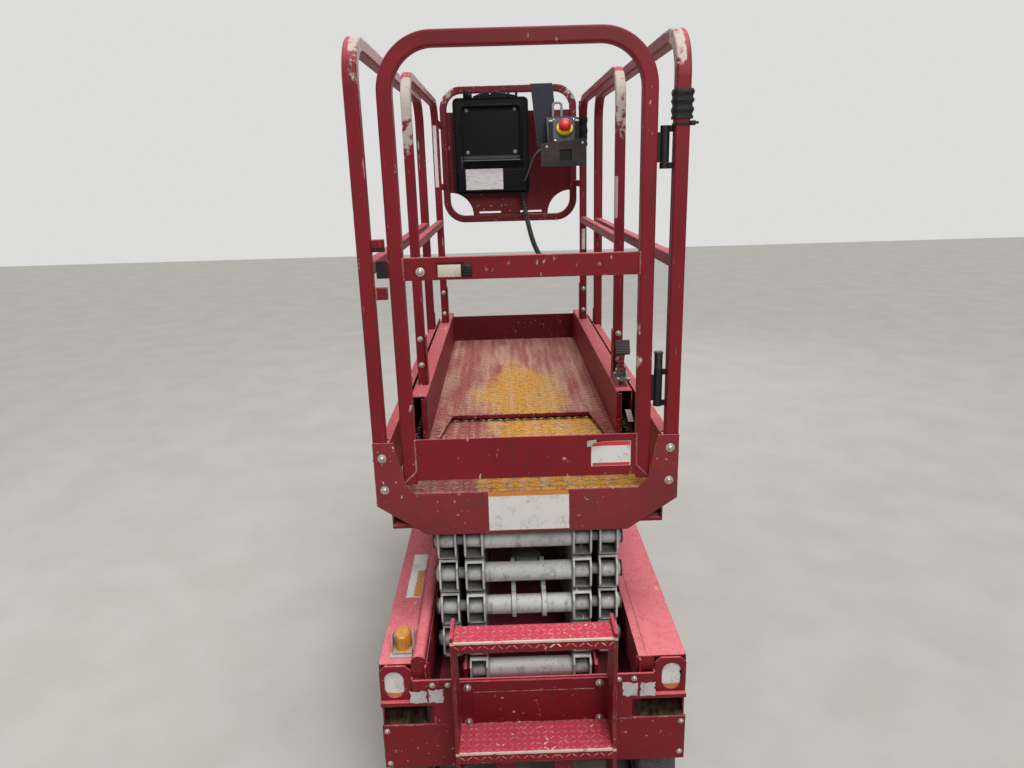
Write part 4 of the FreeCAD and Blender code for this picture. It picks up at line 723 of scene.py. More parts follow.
def deck_coat(place, up, coat):
    x, y, z = place.parts()
    x = x.maths("ABSOLUTE")
    on_deck = up.step(0.9, 0.97) * z.between(0.9297, 0.9303, 0.0003)
    coat = on_deck.blend(coat, trodden(place, main_gold, 0.84, (-0.336, -0.7, 0.672 / 24, 1.644 / 58)))
    # Painted shade: the gap between the sliding deck's wall and the toe wall is darkened.
    gap = x.between(0.288, 0.3415, 0.004) * y.between(-0.36, 0.95, 0.02) * z.between(0.929, 1.058, 0.006)
    # Painted shadow of the sliding deck's notch edge on the fixed deck.
    under_edge = x.between(0, 0.262, 0.006) * y.between(-0.158, -0.128, 0.022) * on_deck
    return (gap * 0.9).most(under_edge * 0.85).blend(coat, painted_shade_black)


give(painted("red_platform", along=(1, 0.12, 1), wear=1.1, over=deck_coat), "platform_deck")


def bar_paint(name, gold, worn):
    made, place, shader = finish(name, "deck_paint", specular_ior_level=0.4)
    fine = place.speckle(90.0, 4.0)
    top = place.node("NewGeometry", output=1).part("z").step(0.93, 0.99) * fine.step(0.3, 0.55)
    coat = (top * 0.55).blend(trodden(place, gold, worn), (0.66, 0.5, 0.32))
    feed(shader, base_color=coat, roughness=0.45 + 0.3 * fine, bump=(fine, 0.2, 0.0005))
    return made


deck_bar = (0.0285, 0.027, 0.0056, 0.0016)
piece("deck_bars", bar_paint("deck_bar_paint", main_gold, 1.32), "platform",
      [(raised_bars, (-0.336, -0.7), (0.336, 0.944), Matrix.Translation((0, 0, 0.93)), *deck_bar)])


# The rear skirt: one U-shaped plate that closes the platform's rear, bolted to
# the side pockets, with a blank instruction sticker.

give(painted("red_skirt", (0.222, 0.024, 0.03), wear=0.7, grime=(0.1, 0.045, 0.04)), "rear_skirt")
skirt_face = -0.72
to_skirt = upright(skirt_face)
sticker("skirt_sticker", "platform", white_vinyl, (-0.0985, 0.8255), (0.106, 0.9215), to_skirt, 0.0006, 11)
sticker("skirt_sticker_head", "platform", orange_vinyl, (-0.099, 0.92), (0.1045, 0.932), to_skirt,
        0.0005, 12, 0.0006)
for side, sign in both_sides:
    bolts(f"post_bolts_{side}", "platform", (sign, 0, 0),
          [(sign * 0.38, y, z) for y in (-0.6995, 0.74) for z in (0.905, 1.02)], 0.8)
bolts("skirt_bolts", "platform", (0, -1, 0),
      [(x, skirt_face, z) for x, z in
       ((-0.3585, 1.031), (-0.3575, 0.946), (0.3585, 1.037), (0.3575, 0.95))], 0.9)


# The main rails: bent square tube, one hoop on each side with a middle bar,
# standing in the toe walls' pockets. Their tops are rubbed down to primer.

def rail_rub(place):
    """Hands and doorways wear the upper bends."""
    z, y = place.part("z"), place.part("y")
    inner = 1 - place.part("x").maths("ABSOLUTE").step(0.366, 0.372)
    bends = z.step(1.85, 1.98) * (1 - y.step(-0.66, -0.5)) * inner
    return bends * 0.56 + z.step(1.996, 2.008) * 0.3


def hinge_black(place, up, coat):
    """The hinges on the right post and the latch's tongue and keeper on the left one are black."""
    x, y, z = place.parts()
    leaf = x.between(0.3105, 0.3465, 0.0003) * y.between(-0.7045, -0.6825, 0.0005)
    leaf = leaf * (z.between(1.139, 1.235, 0.001) + z.between(1.703, 1.799, 0.001))
    keeper = (1 - x.step(-0.315, -0.314)) * x.step(-0.3462, -0.346)
    keeper = keeper * y.between(-0.72, -0.67, 0.0005) * z.between(1.47, 1.546, 0.001)
    return (leaf + keeper).blend(coat, near_black)


bare_grey = (0.54, 0.475, 0.42)
give(painted("red_rails", primer=bare_grey, along=(1, 1, 0.12), wear=1.1, rub=rail_rub, over=hinge_black),
     "main_rails")
coil = [(0.0075, 0), (0.0098, 0.0004), (0.0104, 0.0012), (0.0098, 0.002), (0.0075, 0.0024)]
core = [(0.0085, 0), (0.0085, 0.0415), (0.0112, 0.042), (0.0112, 0.046), (0.0085, 0.047), (0, 0.047)]
piece("hinge_spring", dark_steel, "platform",
      [(turned, coil, Matrix.Translation((0.3285, -0.6935, 1.2335 + 0.0023 * k)), 18) for k in range(17)] +
      [(turned, core, Matrix.Translation((0.3285, -0.6935, 1.231)), 18)], 50)


# The tape: black cloth tape wound round the right rear post in several turns,
# with a cable tie below it whose lock and cut tail stand out sideways.

def rounded_ring(form, low, high, rounding, height, place=None, corner=4):
    """Adds a ring of points round a rectangle with round corners, at one height."""
    ring = []
    for k, (cx, cy) in enumerate((
            (high[0], high[1]), (low[0], high[1]), (low[0], low[1]), (high[0], low[1]))):
        mx = cx - rounding if cx == high[0] else cx + rounding
        my = cy - rounding if cy == high[1] else cy + rounding
        for step in range(corner + 1):
            turn = math.pi / 2 * (k + step / corner)
            spot = Vector((mx + rounding * math.cos(turn), my + rounding * math.sin(turn), height))
            ring.append(form.verts.new(place @ spot if place else spot))
    return ring


def wound(form, low, high, rounding, bottom, tall, turns, seed, swelling, ridges, side=1.0):
    """Adds tape wound round a post; each turn swells by chance, and every few turns make a ridge."""
    chance, rings = random.Random(seed), []
    for k in range(turns):
        swell = swelling[0] + swelling[1] * chance.random() + (ridges[0] if k % ridges[1] < 2 else 0)
        rings.append(rounded_ring(form,
                                 (low[0] - swell, low[1] - swell), (high[0] + swell * side, high[1] + swell),
                                  rounding, bottom + tall * k / (turns - 1) + 0.001 * chance.random()))
    skin(form, rings)


def tie_band(form):
    skin(form, [rounded_ring(form, (0.3465 - grow, -0.7165 - grow),
                             (0.3805 + grow, -0.6825 + grow), 0.006, z)
                for grow, z in ((-0.001, 1.7955), (0.0014, 1.796), (0.0016, 1.8015), (-0.001, 1.802))])


black_tape, place, shader = finish("black_tape", "black_rubber", specular_ior_level=0.25)
weave, folds = place.stretched(1, 1, 6).speckle(60.0, 3.0), place.stretched(1, 1, 1.5).speckle(26.0, 3.0)
lint = (weave * 0.5 + folds * 0.5).step(0.45, 0.75)
feed(shader, base_color=lint.blend((0.003, 0.003, 0.004), (0.018, 0.018, 0.018)),
     roughness=0.4 + 0.35 * folds, bump=(folds + weave * 0.3, 0.7, 0.003))
piece("post_tape", black_tape, "platform",
      [(wound, (0.346, -0.7165), (0.3805, -0.6825), 0.007, 1.809, 0.0625, 15, 4, (0.0016, 0.0016),
        (0.0012, 4), 1.6)], 60)
piece("cable_tie", black_plastic, "platform",
      [(tie_band,),
       (pad, (0.379, -0.7215, 1.7945), (0.3905, -0.712, 1.805), 0.0018),
       (pad, (0.389, -0.719, 1.7975), (0.3975, -0.7145, 1.803), 0.001)])


# The gate: a bent square-tube frame with a kick panel and a flat middle bar,
# hung on the right post. The latch is a black slider behind the bar's slot.

def gate_rub(place):
    """The top is scuffed, and paint has chipped off the right post beside the pedal."""
    x, z = place.part("x"), place.part("z")
    chips = (x.between(0.276, 0.2775, 0.007) * z.between(1.33, 1.342, 0.022)
             + x.between(0.276, 0.282, 0.009) * z.between(1.25, 1.262, 0.024))
    return z.step(2.0035, 2.0045) * 0.42 + chips * 0.57


def gate_top_shade(place, up, coat):
    """The gate's top is darkened: painted shade."""
    high = place.part("z").step(1.955, 1.985) * 0.45
    return hinge_black(place, up, high.blend(coat, (0.085, 0.004, 0.007)))


give(painted("red_gate", along=(0.7, 1, 0.4), wear=0.5, rub=gate_rub, over=gate_top_shade), "entry_gate")
bare_cream = vinyl("bare_cream", (0.6, 0.53, 0.43), (0.34, 0.27, 0.22))
piece("gate_latch_slider", black_plastic, "gate",
      [(pad, (-0.141, -0.7105, 1.474), (-0.116, -0.704, 1.5035), 0.002)] +
      [(pad, (-0.1385, -0.7122, 1.4795 + 0.006 * k), (-0.1185, -0.71, 1.4815 + 0.006 * k), 0.0006)
       for k in range(4)])
piece("gate_latch_plate", bare_cream, "gate",
      [(pad, (-0.196, -0.7078, 1.4745), (-0.142, -0.704, 1.503), 0.001)])
bolts("gate_bar_bolt", "gate", (0, -1, 0), [(-0.237, -0.7065, 1.488)], 0.85)


def weld(form, start, end, bead, seed):
    """Adds a row of overlapping drops along a line, each a little off its place."""
    chance = random.Random(seed)
    start, end = Vector(start), Vector(end)
    count = max(2, round((end - start).length / (bead * 0.9)))
    for k in range(count + 1):
        drop = start.lerp(end, k / count)
        size = bead * (0.85 + 0.3 * chance.random())
        turned(form, [(size, -size * 0.3), (size * 0.8, size * 0.25),
                      (size * 0.4, size * 0.5), (0, size * 0.55)],
               facing(drop, (0, -1, 0)) @ Matrix.Translation((chance.uniform(-0.2, 0.2) * bead, 0, 0)), 8)


def sheet(form, low, high, place, lift, across=16, down=10, thick=0.0003):
    """Adds a thin closed sheet between two corners that stands off its place by lift(u, v)."""
    front, back = ([[form.verts.new(place @ Vector((low[0] + (high[0] - low[0]) * i / across,
                                                    low[1] + (high[1] - low[1]) * j / down,
                                                    lift(i / across, j / down) - under)))
                     for j in range(down + 1)] for i in range(across + 1)] for under in (0.0, thick))
    for i in range(across):
        for j in range(down):
            form.faces.new((front[i][j], front[i + 1][j], front[i + 1][j + 1], front[i][j + 1]))
            form.faces.new((back[i][j + 1], back[i + 1][j + 1], back[i + 1][j], back[i][j]))
        for j in (0, down):
            form.faces.new((front[i][j], front[i + 1][j], back[i + 1][j], back[i][j]))
    for j in range(down):
        for i in (0, across):
            form.faces.new((front[i][j], front[i][j + 1], back[i][j + 1], back[i][j]))


kick_face = -0.7085
dusty_weld = painted("dusty_weld", (0.3, 0.085, 0.08), (0.5, 0.22, 0.2), wear=1.2)
piece("gate_welds", dusty_weld, "gate",
      [(weld, (side * x0, y, z0), (side * x1, y, z1), bead, seed) for side in (-1, 1)
       for x0, x1, y, z0, z1, bead, seed in (
           (0.2765, 0.2765, -0.7095, 1.072, 0.99, 0.0024, 61),
           (0.278, 0.305, -0.71, 0.988, 0.961, 0.0024, 62),
           (0.2765, 0.2765, kick_face, 1.469, 1.519, 0.0028, 63))], 60)


def curl(u, v):
    """The label lies flat but for its upper corner by the latch side, which has come loose."""
    loose = max(0.0, v - u - 0.45)
    return 0.0006 + 0.045 * loose * loose


to_kick = upright(kick_face)
for name, material, low, high, lift, *cells in (
    ("kick_sticker", white_vinyl, (0.163, 0.989), (0.262, 1.055), curl),
    ("kick_sticker_head", red_vinyl, (0.165, 1.0435), (0.2605, 1.0545),
     lambda u, v: curl(u * 0.97 + 0.02, 0.826 + 0.167 * v) + 0.0004),
    ("kick_sticker_fold", grey_vinyl, (0.152, 1.042), (0.176, 1.06),
     lambda u, v: 0.0012 + 0.007 * v * (1 - u), 8, 6),
):
    piece(name, material, "gate", [(sheet, low, high, to_kick, lift, *cells)], 60)
sticker("kick_sticker_foot", "gate", red_vinyl, (0.166, 0.99), (0.26, 0.998), to_kick, 0.001, 23, 0.0009)


# The sliding deck: a second sheet of rolled plate with a notch at its rear and
# two side walls, which rolls out over the front of the first.

def slide_gold(place, broad):
    """The red top coat is trodden through to yellow in the middle."""
    x, y = place.part("x") - 0.01, place.part("y") - 0.1
    return 1 - (x * x * 13.0 + y * y * 2.2 + broad * 0.9).step(0.35, 1.05)


def slide_coat(place, up, coat):
    x, y, z = place.parts()
    # Painted shade: the front wall above the deck is darkened.
    front_wall = y.step(0.93, 0.948) * z.step(0.9485, 0.95) * 0.55
    coat = front_wall.blend(coat, (0.06, 0.003, 0.006))
    # Painted shade: the hem below the notch's edge is darkened.
    hem = y.between(-0.14, -0.126, 0.003) * (1 - z.step(0.947, 0.9477))
    coat = (hem * 0.85).blend(coat, painted_shade_black)
    on_deck = up.step(0.9, 0.97) * z.between(0.9477, 0.9483, 0.0003)
    return on_deck.blend(coat, trodden(place, slide_gold, 0.54, (-0.272, -0.366, 0.544 / 19, 1.328 / 47)))


def in_notch(x, y):
    """The sliding deck's notched rear has no bars."""
    return y < -0.134 and abs(x) < 0.272 - (y + 0.37) * 0.136


red_slide = painted("red_slide", along=(1, 0.12, 1), wear=1.2, over=slide_coat)
give(red_slide, "extension_deck")
piece("slide_wall_folds", red_slide, "extension",
      [(pad, (side * x0, y0, z0), (side * x1, y1, z1), rounding) for side in (-1, 1)
       for x0, y0, z0, x1, y1, z1, rounding in (
           (0.279, -0.3655, 1.079, 0.324, 0.959, 1.0815, 0.0006),
           (0.3222, -0.365, 0.962, 0.324, 0.9585, 1.08, 0.0005),
           (0.2845, 0.957, 0.962, 0.323, 0.959, 1.08, 0.0005))])
piece("slide_bars", bar_paint("slide_bar_paint", slide_gold, 1.08), "extension",
      [(raised_bars, (-0.272, -0.366), (0.272, 0.962),
        Matrix.Translation((0, 0, 0.948)), *deck_bar, in_notch)])
pad_white = moulded("pad_white", (0.7, 0.7, 0.68), rough=0.5, slot="slide_plastic")
piece("slide_wall_pad", pad_white, "extension",
      [(slab, [(0, 0), (0.0075, -0.002), (0.008, 0.034), (0.0005, 0.04)], 0.003,
        Matrix.Translation((x, -0.373, 0.988)) @ Matrix.Rotation(math.radians(-16), 4, "Y") @ upright(0))
       for x in (0.313, 0.3215)])


# The sliding deck's rails: lighter bent tube, bolted to its side walls, with
# arms out to the control loop.

def post_rub(place):
    """The rear posts are rubbed bare near their tops."""
    x, y, z = place.parts()
    scar = x.between(0.287, 0.2935, 0.0015) * z.between(1.575, 1.68, 0.012)
    at_rear = 1 - y.step(-0.205, -0.19)
    return (z.step(1.66, 1.88) * 0.6 + scar) * at_rear + z.step(1.976, 1.988) * 0.3


def gland_black(place, up, coat):
    """The gland that takes the conduit into the right front post is black plastic."""
    x, y, z = place.parts()
    across = y.between(0.728, 0.762, 0.0005) * z.between(1.283, 1.317, 0.0005)
    return (x.between(0.26, 0.2866, 0.0003) * across).blend(coat, near_black)


def loop_rub(place):
    """The tube is rubbed along its top and at its upper corners."""
    x, z = place.part("x").maths("ABSOLUTE"), place.part("z")
    return z.step(2.0615, 2.064) * 0.5 + x.step(0.2, 0.26) * z.step(1.955, 2.02) * 0.42


give(painted("red_slide_rails", primer=bare_grey, along=(1, 1, 0.12), wear=1.3, rub=post_rub,
             over=gland_black), "extension_rails")
# The loop's red is darker than the other red paint: painted shade.
give(painted("red_loop_shaded", (0.145, 0.008, 0.013), rub=loop_rub), "control_loop")
bolts("slide_post_bolts", "extension", (0, -1, 0),
      [(side * 0.301, y, z) for side in (-1, 1)
       for y, z in ((-0.242, 1.226), (-0.242, 1.145), (0.731, 1.214), (0.731, 1.123))], 0.72)
post_face, to_loop = upright(0.731), upright(0.987, side=-1)
sticker("left_post_tape", "extension", white_vinyl, (-0.3105, 1.652), (-0.2965, 1.925), post_face, 0.0015, 41)
sticker("right_post_tape", "extension", white_vinyl, (0.2945, 1.382), (0.3085, 1.468), post_face, 0.002, 42)
bolts("box_bolts", "extension", (0, 1, 0),
      [(x, 0.987, z) for x in (-0.181, 0.0275) for z in (1.79, 1.9655)], 0.75)
sticker("loop_label", "extension", white_vinyl, (-0.09, 1.62), (0.06, 1.715), to_loop, 0.002, 57)
piece("front_post_tape", black_tape, "extension",
      [(wound, (0.287, 0.731), (0.315, 0.759), 0.008, 1.8, 0.172, 19, 9, (0.0012, 0.0022),
        (0.0016, 5))], 60)
give(moulded("slide_plastic", (0.55, 0.54, 0.5), slot="slide_plastic"), "slide_strips")


# The manual box: a deep black moulded tray with a raised rim, a peaked handle
# and two clasps, bolted to the loop's panel, with a blank sheet of paper in its
# pocket.

box_black = moulded("box_black", (0.003, 0.003, 0.004), rough=0.36, grain=260.0, dusty=0.06, shine=0.14)
box_dark = moulded("box_dark", (0.002, 0.002, 0.002), rough=0.7, dusty=0.05, shine=0.1)
# This paler grey is for painted highlights on the handle's crest and the shelf's edge.
box_highlight_grey = moulded("box_highlight_grey", (0.045, 0.047, 0.052), rough=0.4, dusty=0.3)
box_studs = moulded("box_studs", (0.34, 0.34, 0.33), rough=0.5)
give(box_black, "manual_box")
to_box, to_pocket = upright(0.919), upright(0.905)


def rim(form, low, high, rounding, steps):
    """Adds a raised rim round a rectangle on the box's face: steps are (inset, height)."""
    skin(form, [rounded_ring(form, (low[0] + inset, low[1] + inset), (high[0] - inset, high[1] - inset),
                             rounding - inset, proud, to_box, 6) for inset, proud in steps], False, False)


outer_steps = ((-0.0015, -0.012), (-0.0015, 0.0005), (0.0005, 0.0034), (0.0045, 0.0036), (0.0065, 0.0012),
               (0.009, -0.0005))
inner_steps = ((-0.011, -0.0005), (-0.0095, 0.0018), (-0.004, 0.0034), (-0.0004, 0.0026), (0.001, -0.003))
piece("box_rims", box_black, "extension",
      [(rim, (-0.236, 1.615), (0.084, 2.011), 0.02, outer_steps),
       (rim, (-0.202, 1.762), (0.05, 1.977), 0.016, inner_steps),
       (pad, (-0.19, 0.905, 2.01), (-0.152, 0.926, 2.03), 0.0025),
       (pad, (-0.188, 0.902, 2.014), (-0.168, 0.907, 2.042), 0.002),
       (pad, (-0.002, 0.908, 2.01), (0.008, 0.924, 2.033), 0.002),
       (pad, (0.03, 0.908, 2.01), (0.041, 0.924, 2.03), 0.002),
       (pad, (-0.232, 0.93, 1.73), (-0.2395, 0.96, 1.81), 0.002)], 50)
peak = [(-0.15, 2.0095), (-0.148, 2.015), (-0.0935, 2.033), (-0.087, 2.0325), (-0.0764, 2.02),
        (-0.064, 2.0325), (-0.0577, 2.033), (0.038, 2.015), (0.04, 2.0095)]
piece("box_handle", box_black, "extension", [(slab, peak, 0.01, upright(0.921))])


def rod(form, start, end):
    """Adds a thin square rod between two points."""
    half = (end - start).length / 2 + 0.0006
    pad(form, (-0.0014, -0.0014, -half), (0.0014, 0.0014, half), 0.0006,
        facing((start + end) / 2, end - start))


# Painted highlight: a paler grey rod along the handle's crest.
crest = [Vector((x, 0.9085, z + 0.0006)) for x, z in peak[1:-1]]
piece("box_handle_edge", box_highlight_grey, "extension", [(rod, a, b) for a, b in zip(crest, crest[1:])])
# The shelf's paler grey edge is a painted highlight too.
shelf = [(0.9525, 1.7765), (0.9525, 1.773), (0.915, 1.753), (0.9125, 1.7545), (0.915, 1.758)]
piece("box_shelf_edge", box_highlight_grey, "extension",
      [(slab, shelf, 0.246, sidelong(-0.199)),
       (pad, (-0.209, 0.915, 1.72), (-0.2035, 0.9195, 1.774), 0.001)])
# A near-black sheet under the shelf is painted shade.
sticker("box_slot", "extension", box_dark, (-0.197, 1.7225), (0.063, 1.752), to_box, 0, 1, 0.0008)
stud = [(0.0085, -0.001), (0.0085, 0.002), (0.007, 0.0042), (0.004, 0.0052), (0.0035, 0.0042), (0, 0.004)]
piece("box_studs", box_studs, "extension",
      [(turned, stud, facing((x, 0.953, z), (0, -1, 0)), 18)
       for x, z in ((-0.1808, 1.965), (0.0282, 1.966), (-0.1806, 1.7902), (0.0268, 1.79))])
piece("box_grip_texture", box_black, "extension",
      [(turned, [(0.0026, -0.0002), (0.0012, 0.0008), (0, 0.0009)],
        to_pocket @ Matrix.Translation((-0.016 + 0.006 * i, 1.642 + 0.0068 * j, 0)), 4)
       for i in range(13) for j in range(9)])
paper, place, shader = finish("paper", roughness=0.8)
smudge, fibre = place.stretched(0.5, 1, 2.5).speckle(60.0, 4.0), place.speckle(300.0, 2.0)
feed(shader, base_color=smudge.step(0.5, 0.75).blend((0.78, 0.77, 0.78), (0.52, 0.51, 0.53)),
     bump=(smudge + fibre * 0.3, 0.3, 0.0006))


def crumple(u, v):
    """The paper bulges twice across its width, and its top and left edges stand off."""
    waves = 0.0016 * math.sin(math.pi * u * 2.1) ** 2 * v
    top = 0.02 * max(0.0, v - 0.82) * (0.4 + 0.6 * u)
    return 0.0006 + waves + top + 0.035 * max(0.0, u - 0.9) * (1 - v)


piece("paper_sheet", paper, "extension",
      [(sheet, (-0.1915, 1.6335), (-0.03, 1.7205), to_pocket, crumple)], 60)


# The control box: a folded plate tray on the right rail with a dark worn front
# plate, a sloping blue-grey panel with the stop button on its yellow ring,
# two black guard bars, a grey arched lever and a tall plate behind.

made, place, shader = finish("control_box_steel", "dark_steel", specular_ior_level=0.4)
x, y, z = place.parts()
cloud, fine = place.speckle(16.0, 4.0), place.speckle(110.0, 4.0, 0.65)
blue = fine.step(0.35, 0.75).blend((0.012, 0.015, 0.024), (0.028, 0.033, 0.047))
black = fine.step(0.4, 0.8).blend((0.006, 0.006, 0.007), (0.025, 0.024, 0.024))
rust = (cloud * 0.6 + fine * 0.5).step(0.45, 0.75).blend((0.026, 0.021, 0.02), (0.07, 0.04, 0.032))
front_plate, behind = 1 - y.step(0.6172, 0.6178), y.step(0.7525, 0.753)
arch = z.step(1.9118, 1.9124) * (1 - behind)
coat = front_plate.blend(black, (1 - z.step(1.728, 1.738)).blend(rust, blue))
coat = arch.blend(behind.blend(coat, blue), (0.3, 0.3, 0.31))
rounded, turned_away = rounding(place, 0.0015)
edge = turned_away.step(0.01, 0.15) * fine.step(0.42, 0.6)
feed(shader, base_color=(edge * 0.7).blend(coat, (0.33, 0.31, 0.29)), roughness=0.38 + 0.3 * fine,
     metallic=0.25 + 0.3 * edge, bump=(fine, 0.25, 0.0006), rounded=rounded)
give(made, "control_box")


def leaning(y, z, run, rise):
    """A plane to draw on in x and up a slope that gains so much height over its run."""
    return Matrix(((1, 0, 0, 0), (0, run, -rise, y), (0, rise, run, z), (0, 0, 0, 1)))


slope = leaning(0.625, 1.806, 0.6472, 0.7622)
seat = slope @ Matrix.Translation((0.22, 0.0726, 0))
panel_blue = painted("panel_blue", (0.03, 0.035, 0.05), (0.075, 0.085, 0.11), (0.45, 0.44, 0.42), wear=1.3,
                     grime=(0.015, 0.014, 0.014), slot="dark_steel")
outline = [(0.1755, 0.01), (0.2625, 0.01), (0.266, 0.014), (0.266, 0.128), (0.2625, 0.1315),
           (0.1755, 0.1315), (0.172, 0.128), (0.172, 0.014)]
piece("stop_panel", panel_blue, "extension",
      [(slab, outline, 0.0022, slope), (pad, (0.1715, 0.715, 1.9115), (0.2665, 0.744, 1.9145), 0.0012)])
screw = [(0.0036, 0.002), (0.0036, 0.0032), (0.0026, 0.004), (0, 0.004)]
nub = [(0.005, 0), (0.0046, 0.002), (0, 0.0032)]
piece("panel_screws", zinc, "extension",
      [(turned, screw, slope @ Matrix.Translation((x, y, 0)), 10)
       for x, y in ((0.179, 0.017), (0.259, 0.017), (0.179, 0.1245), (0.259, 0.1245))] +
      [(pad, (x, 0.6165, low), (x + 0.016, 0.6205, high), 0.0012) for x in (0.153, 0.256)
       for low, high in ((1.888, 1.8955), (1.8, 1.806))] +
      [(turned, nub, facing((x, 0.613, z), (0, -1, 0)), 12) for x, z in ((0.144, 1.796), (0.285, 1.808))])
stop_yellow = moulded("stop_yellow", (0.72, 0.6, 0.012), rough=0.35, dusty=0.25, slot="slide_plastic")
stop_red = moulded("stop_red", (0.62, 0.022, 0.02), rough=0.28, dusty=0.15, slot="slide_plastic")
piece("stop_ring", stop_yellow, "extension",
      [(turned, [(0.02, 0.0015), (0.0318, 0.0015), (0.0335, 0.003), (0.0335, 0.0105), (0.0315, 0.0128),
                 (0.0235, 0.014), (0.02, 0.014)], seat, 32)], 40)
piece("stop_dome", stop_red, "extension",
      [(turned, [(0.0205, 0.013), (0.0205, 0.019), (0.024, 0.02), (0.0256, 0.0245), (0.0252, 0.0315),
                 (0.0222, 0.0376), (0.014, 0.0412), (0.006, 0.0424), (0, 0.0426)], seat, 32)], 50)


# The deck lock: a ribbed rubber pedal on a red arm that turns between two steel
# cheeks, on a bracket bolted outside the sliding deck's right wall.

made, place, shader = finish("lock_finish", "dark_steel", specular_ior_level=0.4)
x, y, z = place.parts()
cloud, fine = place.speckle(20.0, 4.0), place.speckle(120.0, 4.0, 0.65)
steel = fine.step(0.35, 0.75).blend((0.085, 0.082, 0.078), (0.2, 0.19, 0.175))
red = fine.step(0.3, 0.8).blend(crimson, (0.52, 0.14, 0.15))
behind_pad = (y + 0.312 - (z - 1.176) * 0.421).step(0.0002, 0.0008)
on_arm = x.between(0.2962, 0.3118, 0.0002) * z.between(1.1185, 1.22, 0.001) * behind_pad
on_pad = z.step(1.17, 1.174) * (1 - behind_pad)
under = 1 - z.step(1.0985, 1.0995)
coat = (on_arm + under).blend(on_pad.blend(steel, (0.03, 0.029, 0.028)), red)
feed(shader, base_color=coat, roughness=0.42 + 0.3 * cloud, metallic=(1 - (on_arm + on_pad + under)) * 0.5,
     bump=(fine, 0.3, 0.0006))
give(made, "deck_lock")
pad_face = leaning(-0.322, 1.182, 0.3883, 0.9215)
pedal_rubber = moulded("pedal_rubber", (0.075, 0.07, 0.065), rough=0.6, dusty=0.7, slot="black_rubber")
rib_ups = [0.0035 + 0.0049 * k for k in range(8)]
piece("pedal_ribs", pedal_rubber, "extension",
      [(pad, (0.2835, up - 0.0014, -0.0006), (0.3245, up + 0.0014, 0.0022), 0.0007, pad_face)
       for up in rib_ups])
bolts("lock_bolts", "extension", (0, 0, 1),
      [(x, y, 1.106) for x in (0.2895, 0.3185) for y in (-0.3235, -0.2585)], 0.5)
piece("pedal_pin", zinc, "extension",
      [(turned, [(0.0062, 0), (0.0062, 0.0034), (0.0034, 0.0042), (0, 0.0044)],
        facing((x, -0.279, 1.122), (way, 0, 0)), 6) for x, way in ((0.316, 1), (0.292, -1))])


# The cords: a ribbed conduit that carries the control wires down from the
# manual box to the rail, and a thin grey lead from the control box.

def along_cord(route):
    """A smooth NURBS line through the air by the cord's route, and the points on it."""
    line = bpy.data.curves.new("cord_line", "CURVE")
    line.dimensions, line.resolution_u = "3D", 16
    spline = line.splines.new("NURBS")
    spline.points.add(len(route) - 1)
    for point, place in zip(spline.points, route):
        point.co = (*[c / 1000 for c in place], 1)
    spline.order_u, spline.use_endpoint_u = 3, True
    holder = bpy.data.objects.new("cord_line", line)
    scene.collection.objects.link(holder)
    bpy.context.view_layer.update()
    read = bpy.data.meshes.new_from_object(holder)
    points = [v.co.copy() for v in read.vertices]
    bpy.data.objects.remove(holder)
    bpy.data.meshes.remove(read)
    return points


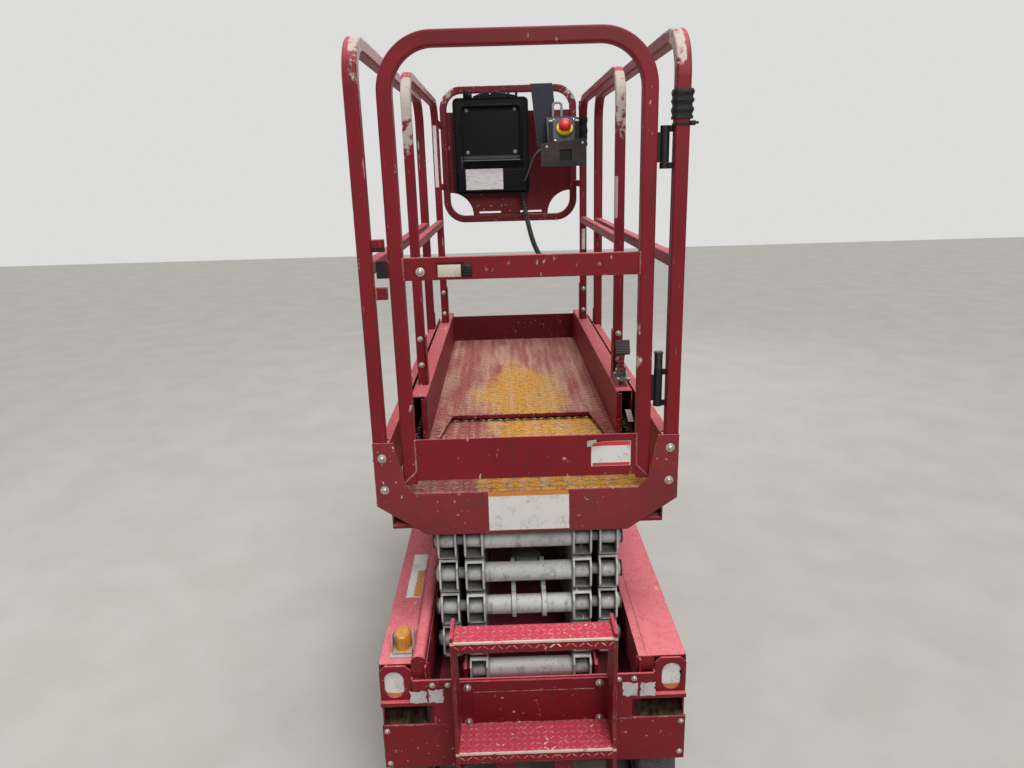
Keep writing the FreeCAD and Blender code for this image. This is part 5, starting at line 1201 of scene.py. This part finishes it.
def hose(form, points, profile, sides=14):
    """Adds a tube along points; profile is a list of (distance along it, radius)."""
    lengths = [0.0]
    for a, b in zip(points, points[1:]):
        lengths.append(lengths[-1] + (b - a).length)
    across = (points[1] - points[0]).orthogonal().normalized()
    rings, k = [], 0
    for distance, radius in profile:
        while k < len(points) - 2 and lengths[k + 1] < distance:
            k += 1
        share = min(1.0, max(0.0, (distance - lengths[k]) / (lengths[k + 1] - lengths[k])))
        way = (points[k + 1] - points[k]).normalized()
        across = (across - way * across.dot(way)).normalized()
        other = way.cross(across)
        middle = points[k].lerp(points[k + 1], share)
        rings.append([form.verts.new(middle + (across * math.cos(2 * math.pi * n / sides)
                                               + other * math.sin(2 * math.pi * n / sides)) * radius)
                      for n in range(sides)])
    skin(form, rings)


def length_of(points):
    return sum((b - a).length for a, b in zip(points, points[1:]))


conduit_route = [(58, 932, 1615), (58, 932, 1580), (64, 925, 1541), (73, 911, 1493), (84, 891, 1443),
                 (98, 865, 1393), (121, 832, 1346), (153, 796, 1313), (191, 764, 1300), (229, 745, 1300),
                 (262, 745, 1300)]
cable_route = [(150, 715, 1790), (131, 715, 1790), (113, 723, 1782), (99, 740, 1764), (88, 766, 1738),
               (79, 799, 1710), (71, 836, 1686), (65, 866, 1672), (62, 886, 1667), (62, 905, 1667)]
points = along_cord(conduit_route)
whole, base, profile = length_of(points), 0.0, []
ripple = ((0.0, 0.0074), (0.14, 0.0104), (0.28, 0.0117), (0.42, 0.012), (0.58, 0.0115), (0.72, 0.01),
          (0.86, 0.0074))
while base < whole - 0.012:
    pitch = 0.0125 if base < 0.085 else 0.008
    profile += [(base + pitch * share, radius) for share, radius in ripple]
    base += pitch
profile.append((whole, 0.0074))
conduit_black = moulded("conduit_black", (0.009, 0.009, 0.01), rough=0.14, dusty=0.15, shine=0.9)
conduit = piece("conduit", conduit_black, "extension", [(hose, points, profile)], 50)
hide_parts("control_conduit")
boot = [(0.0, 0.0172), (0.004, 0.0172), (0.0045, 0.0158), (0.012, 0.015), (0.0125, 0.0142),
        (0.02, 0.0138), (0.0205, 0.013), (0.03, 0.0126), (0.0302, 0.0095)]
piece("conduit_boot", black_plastic, "extension", [(hose, points, boot, 20)], 40)
points = along_cord(cable_route)
whole = length_of(points)
cable_grey = moulded("cable_grey", (0.1, 0.1, 0.1), rough=0.5, slot="cable_grey")
cable = piece("lead", cable_grey, "extension",
              [(hose, points, [(whole * k / 60, 0.0035) for k in range(61)], 12)], 50)
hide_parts("control_cable")
boot = [(0.0, 0.0068), (0.003, 0.0068), (0.0032, 0.0058), (0.022, 0.0043), (0.0222, 0.0034)]
piece("lead_boot", black_plastic, "extension", [(hose, points, boot)], 40)
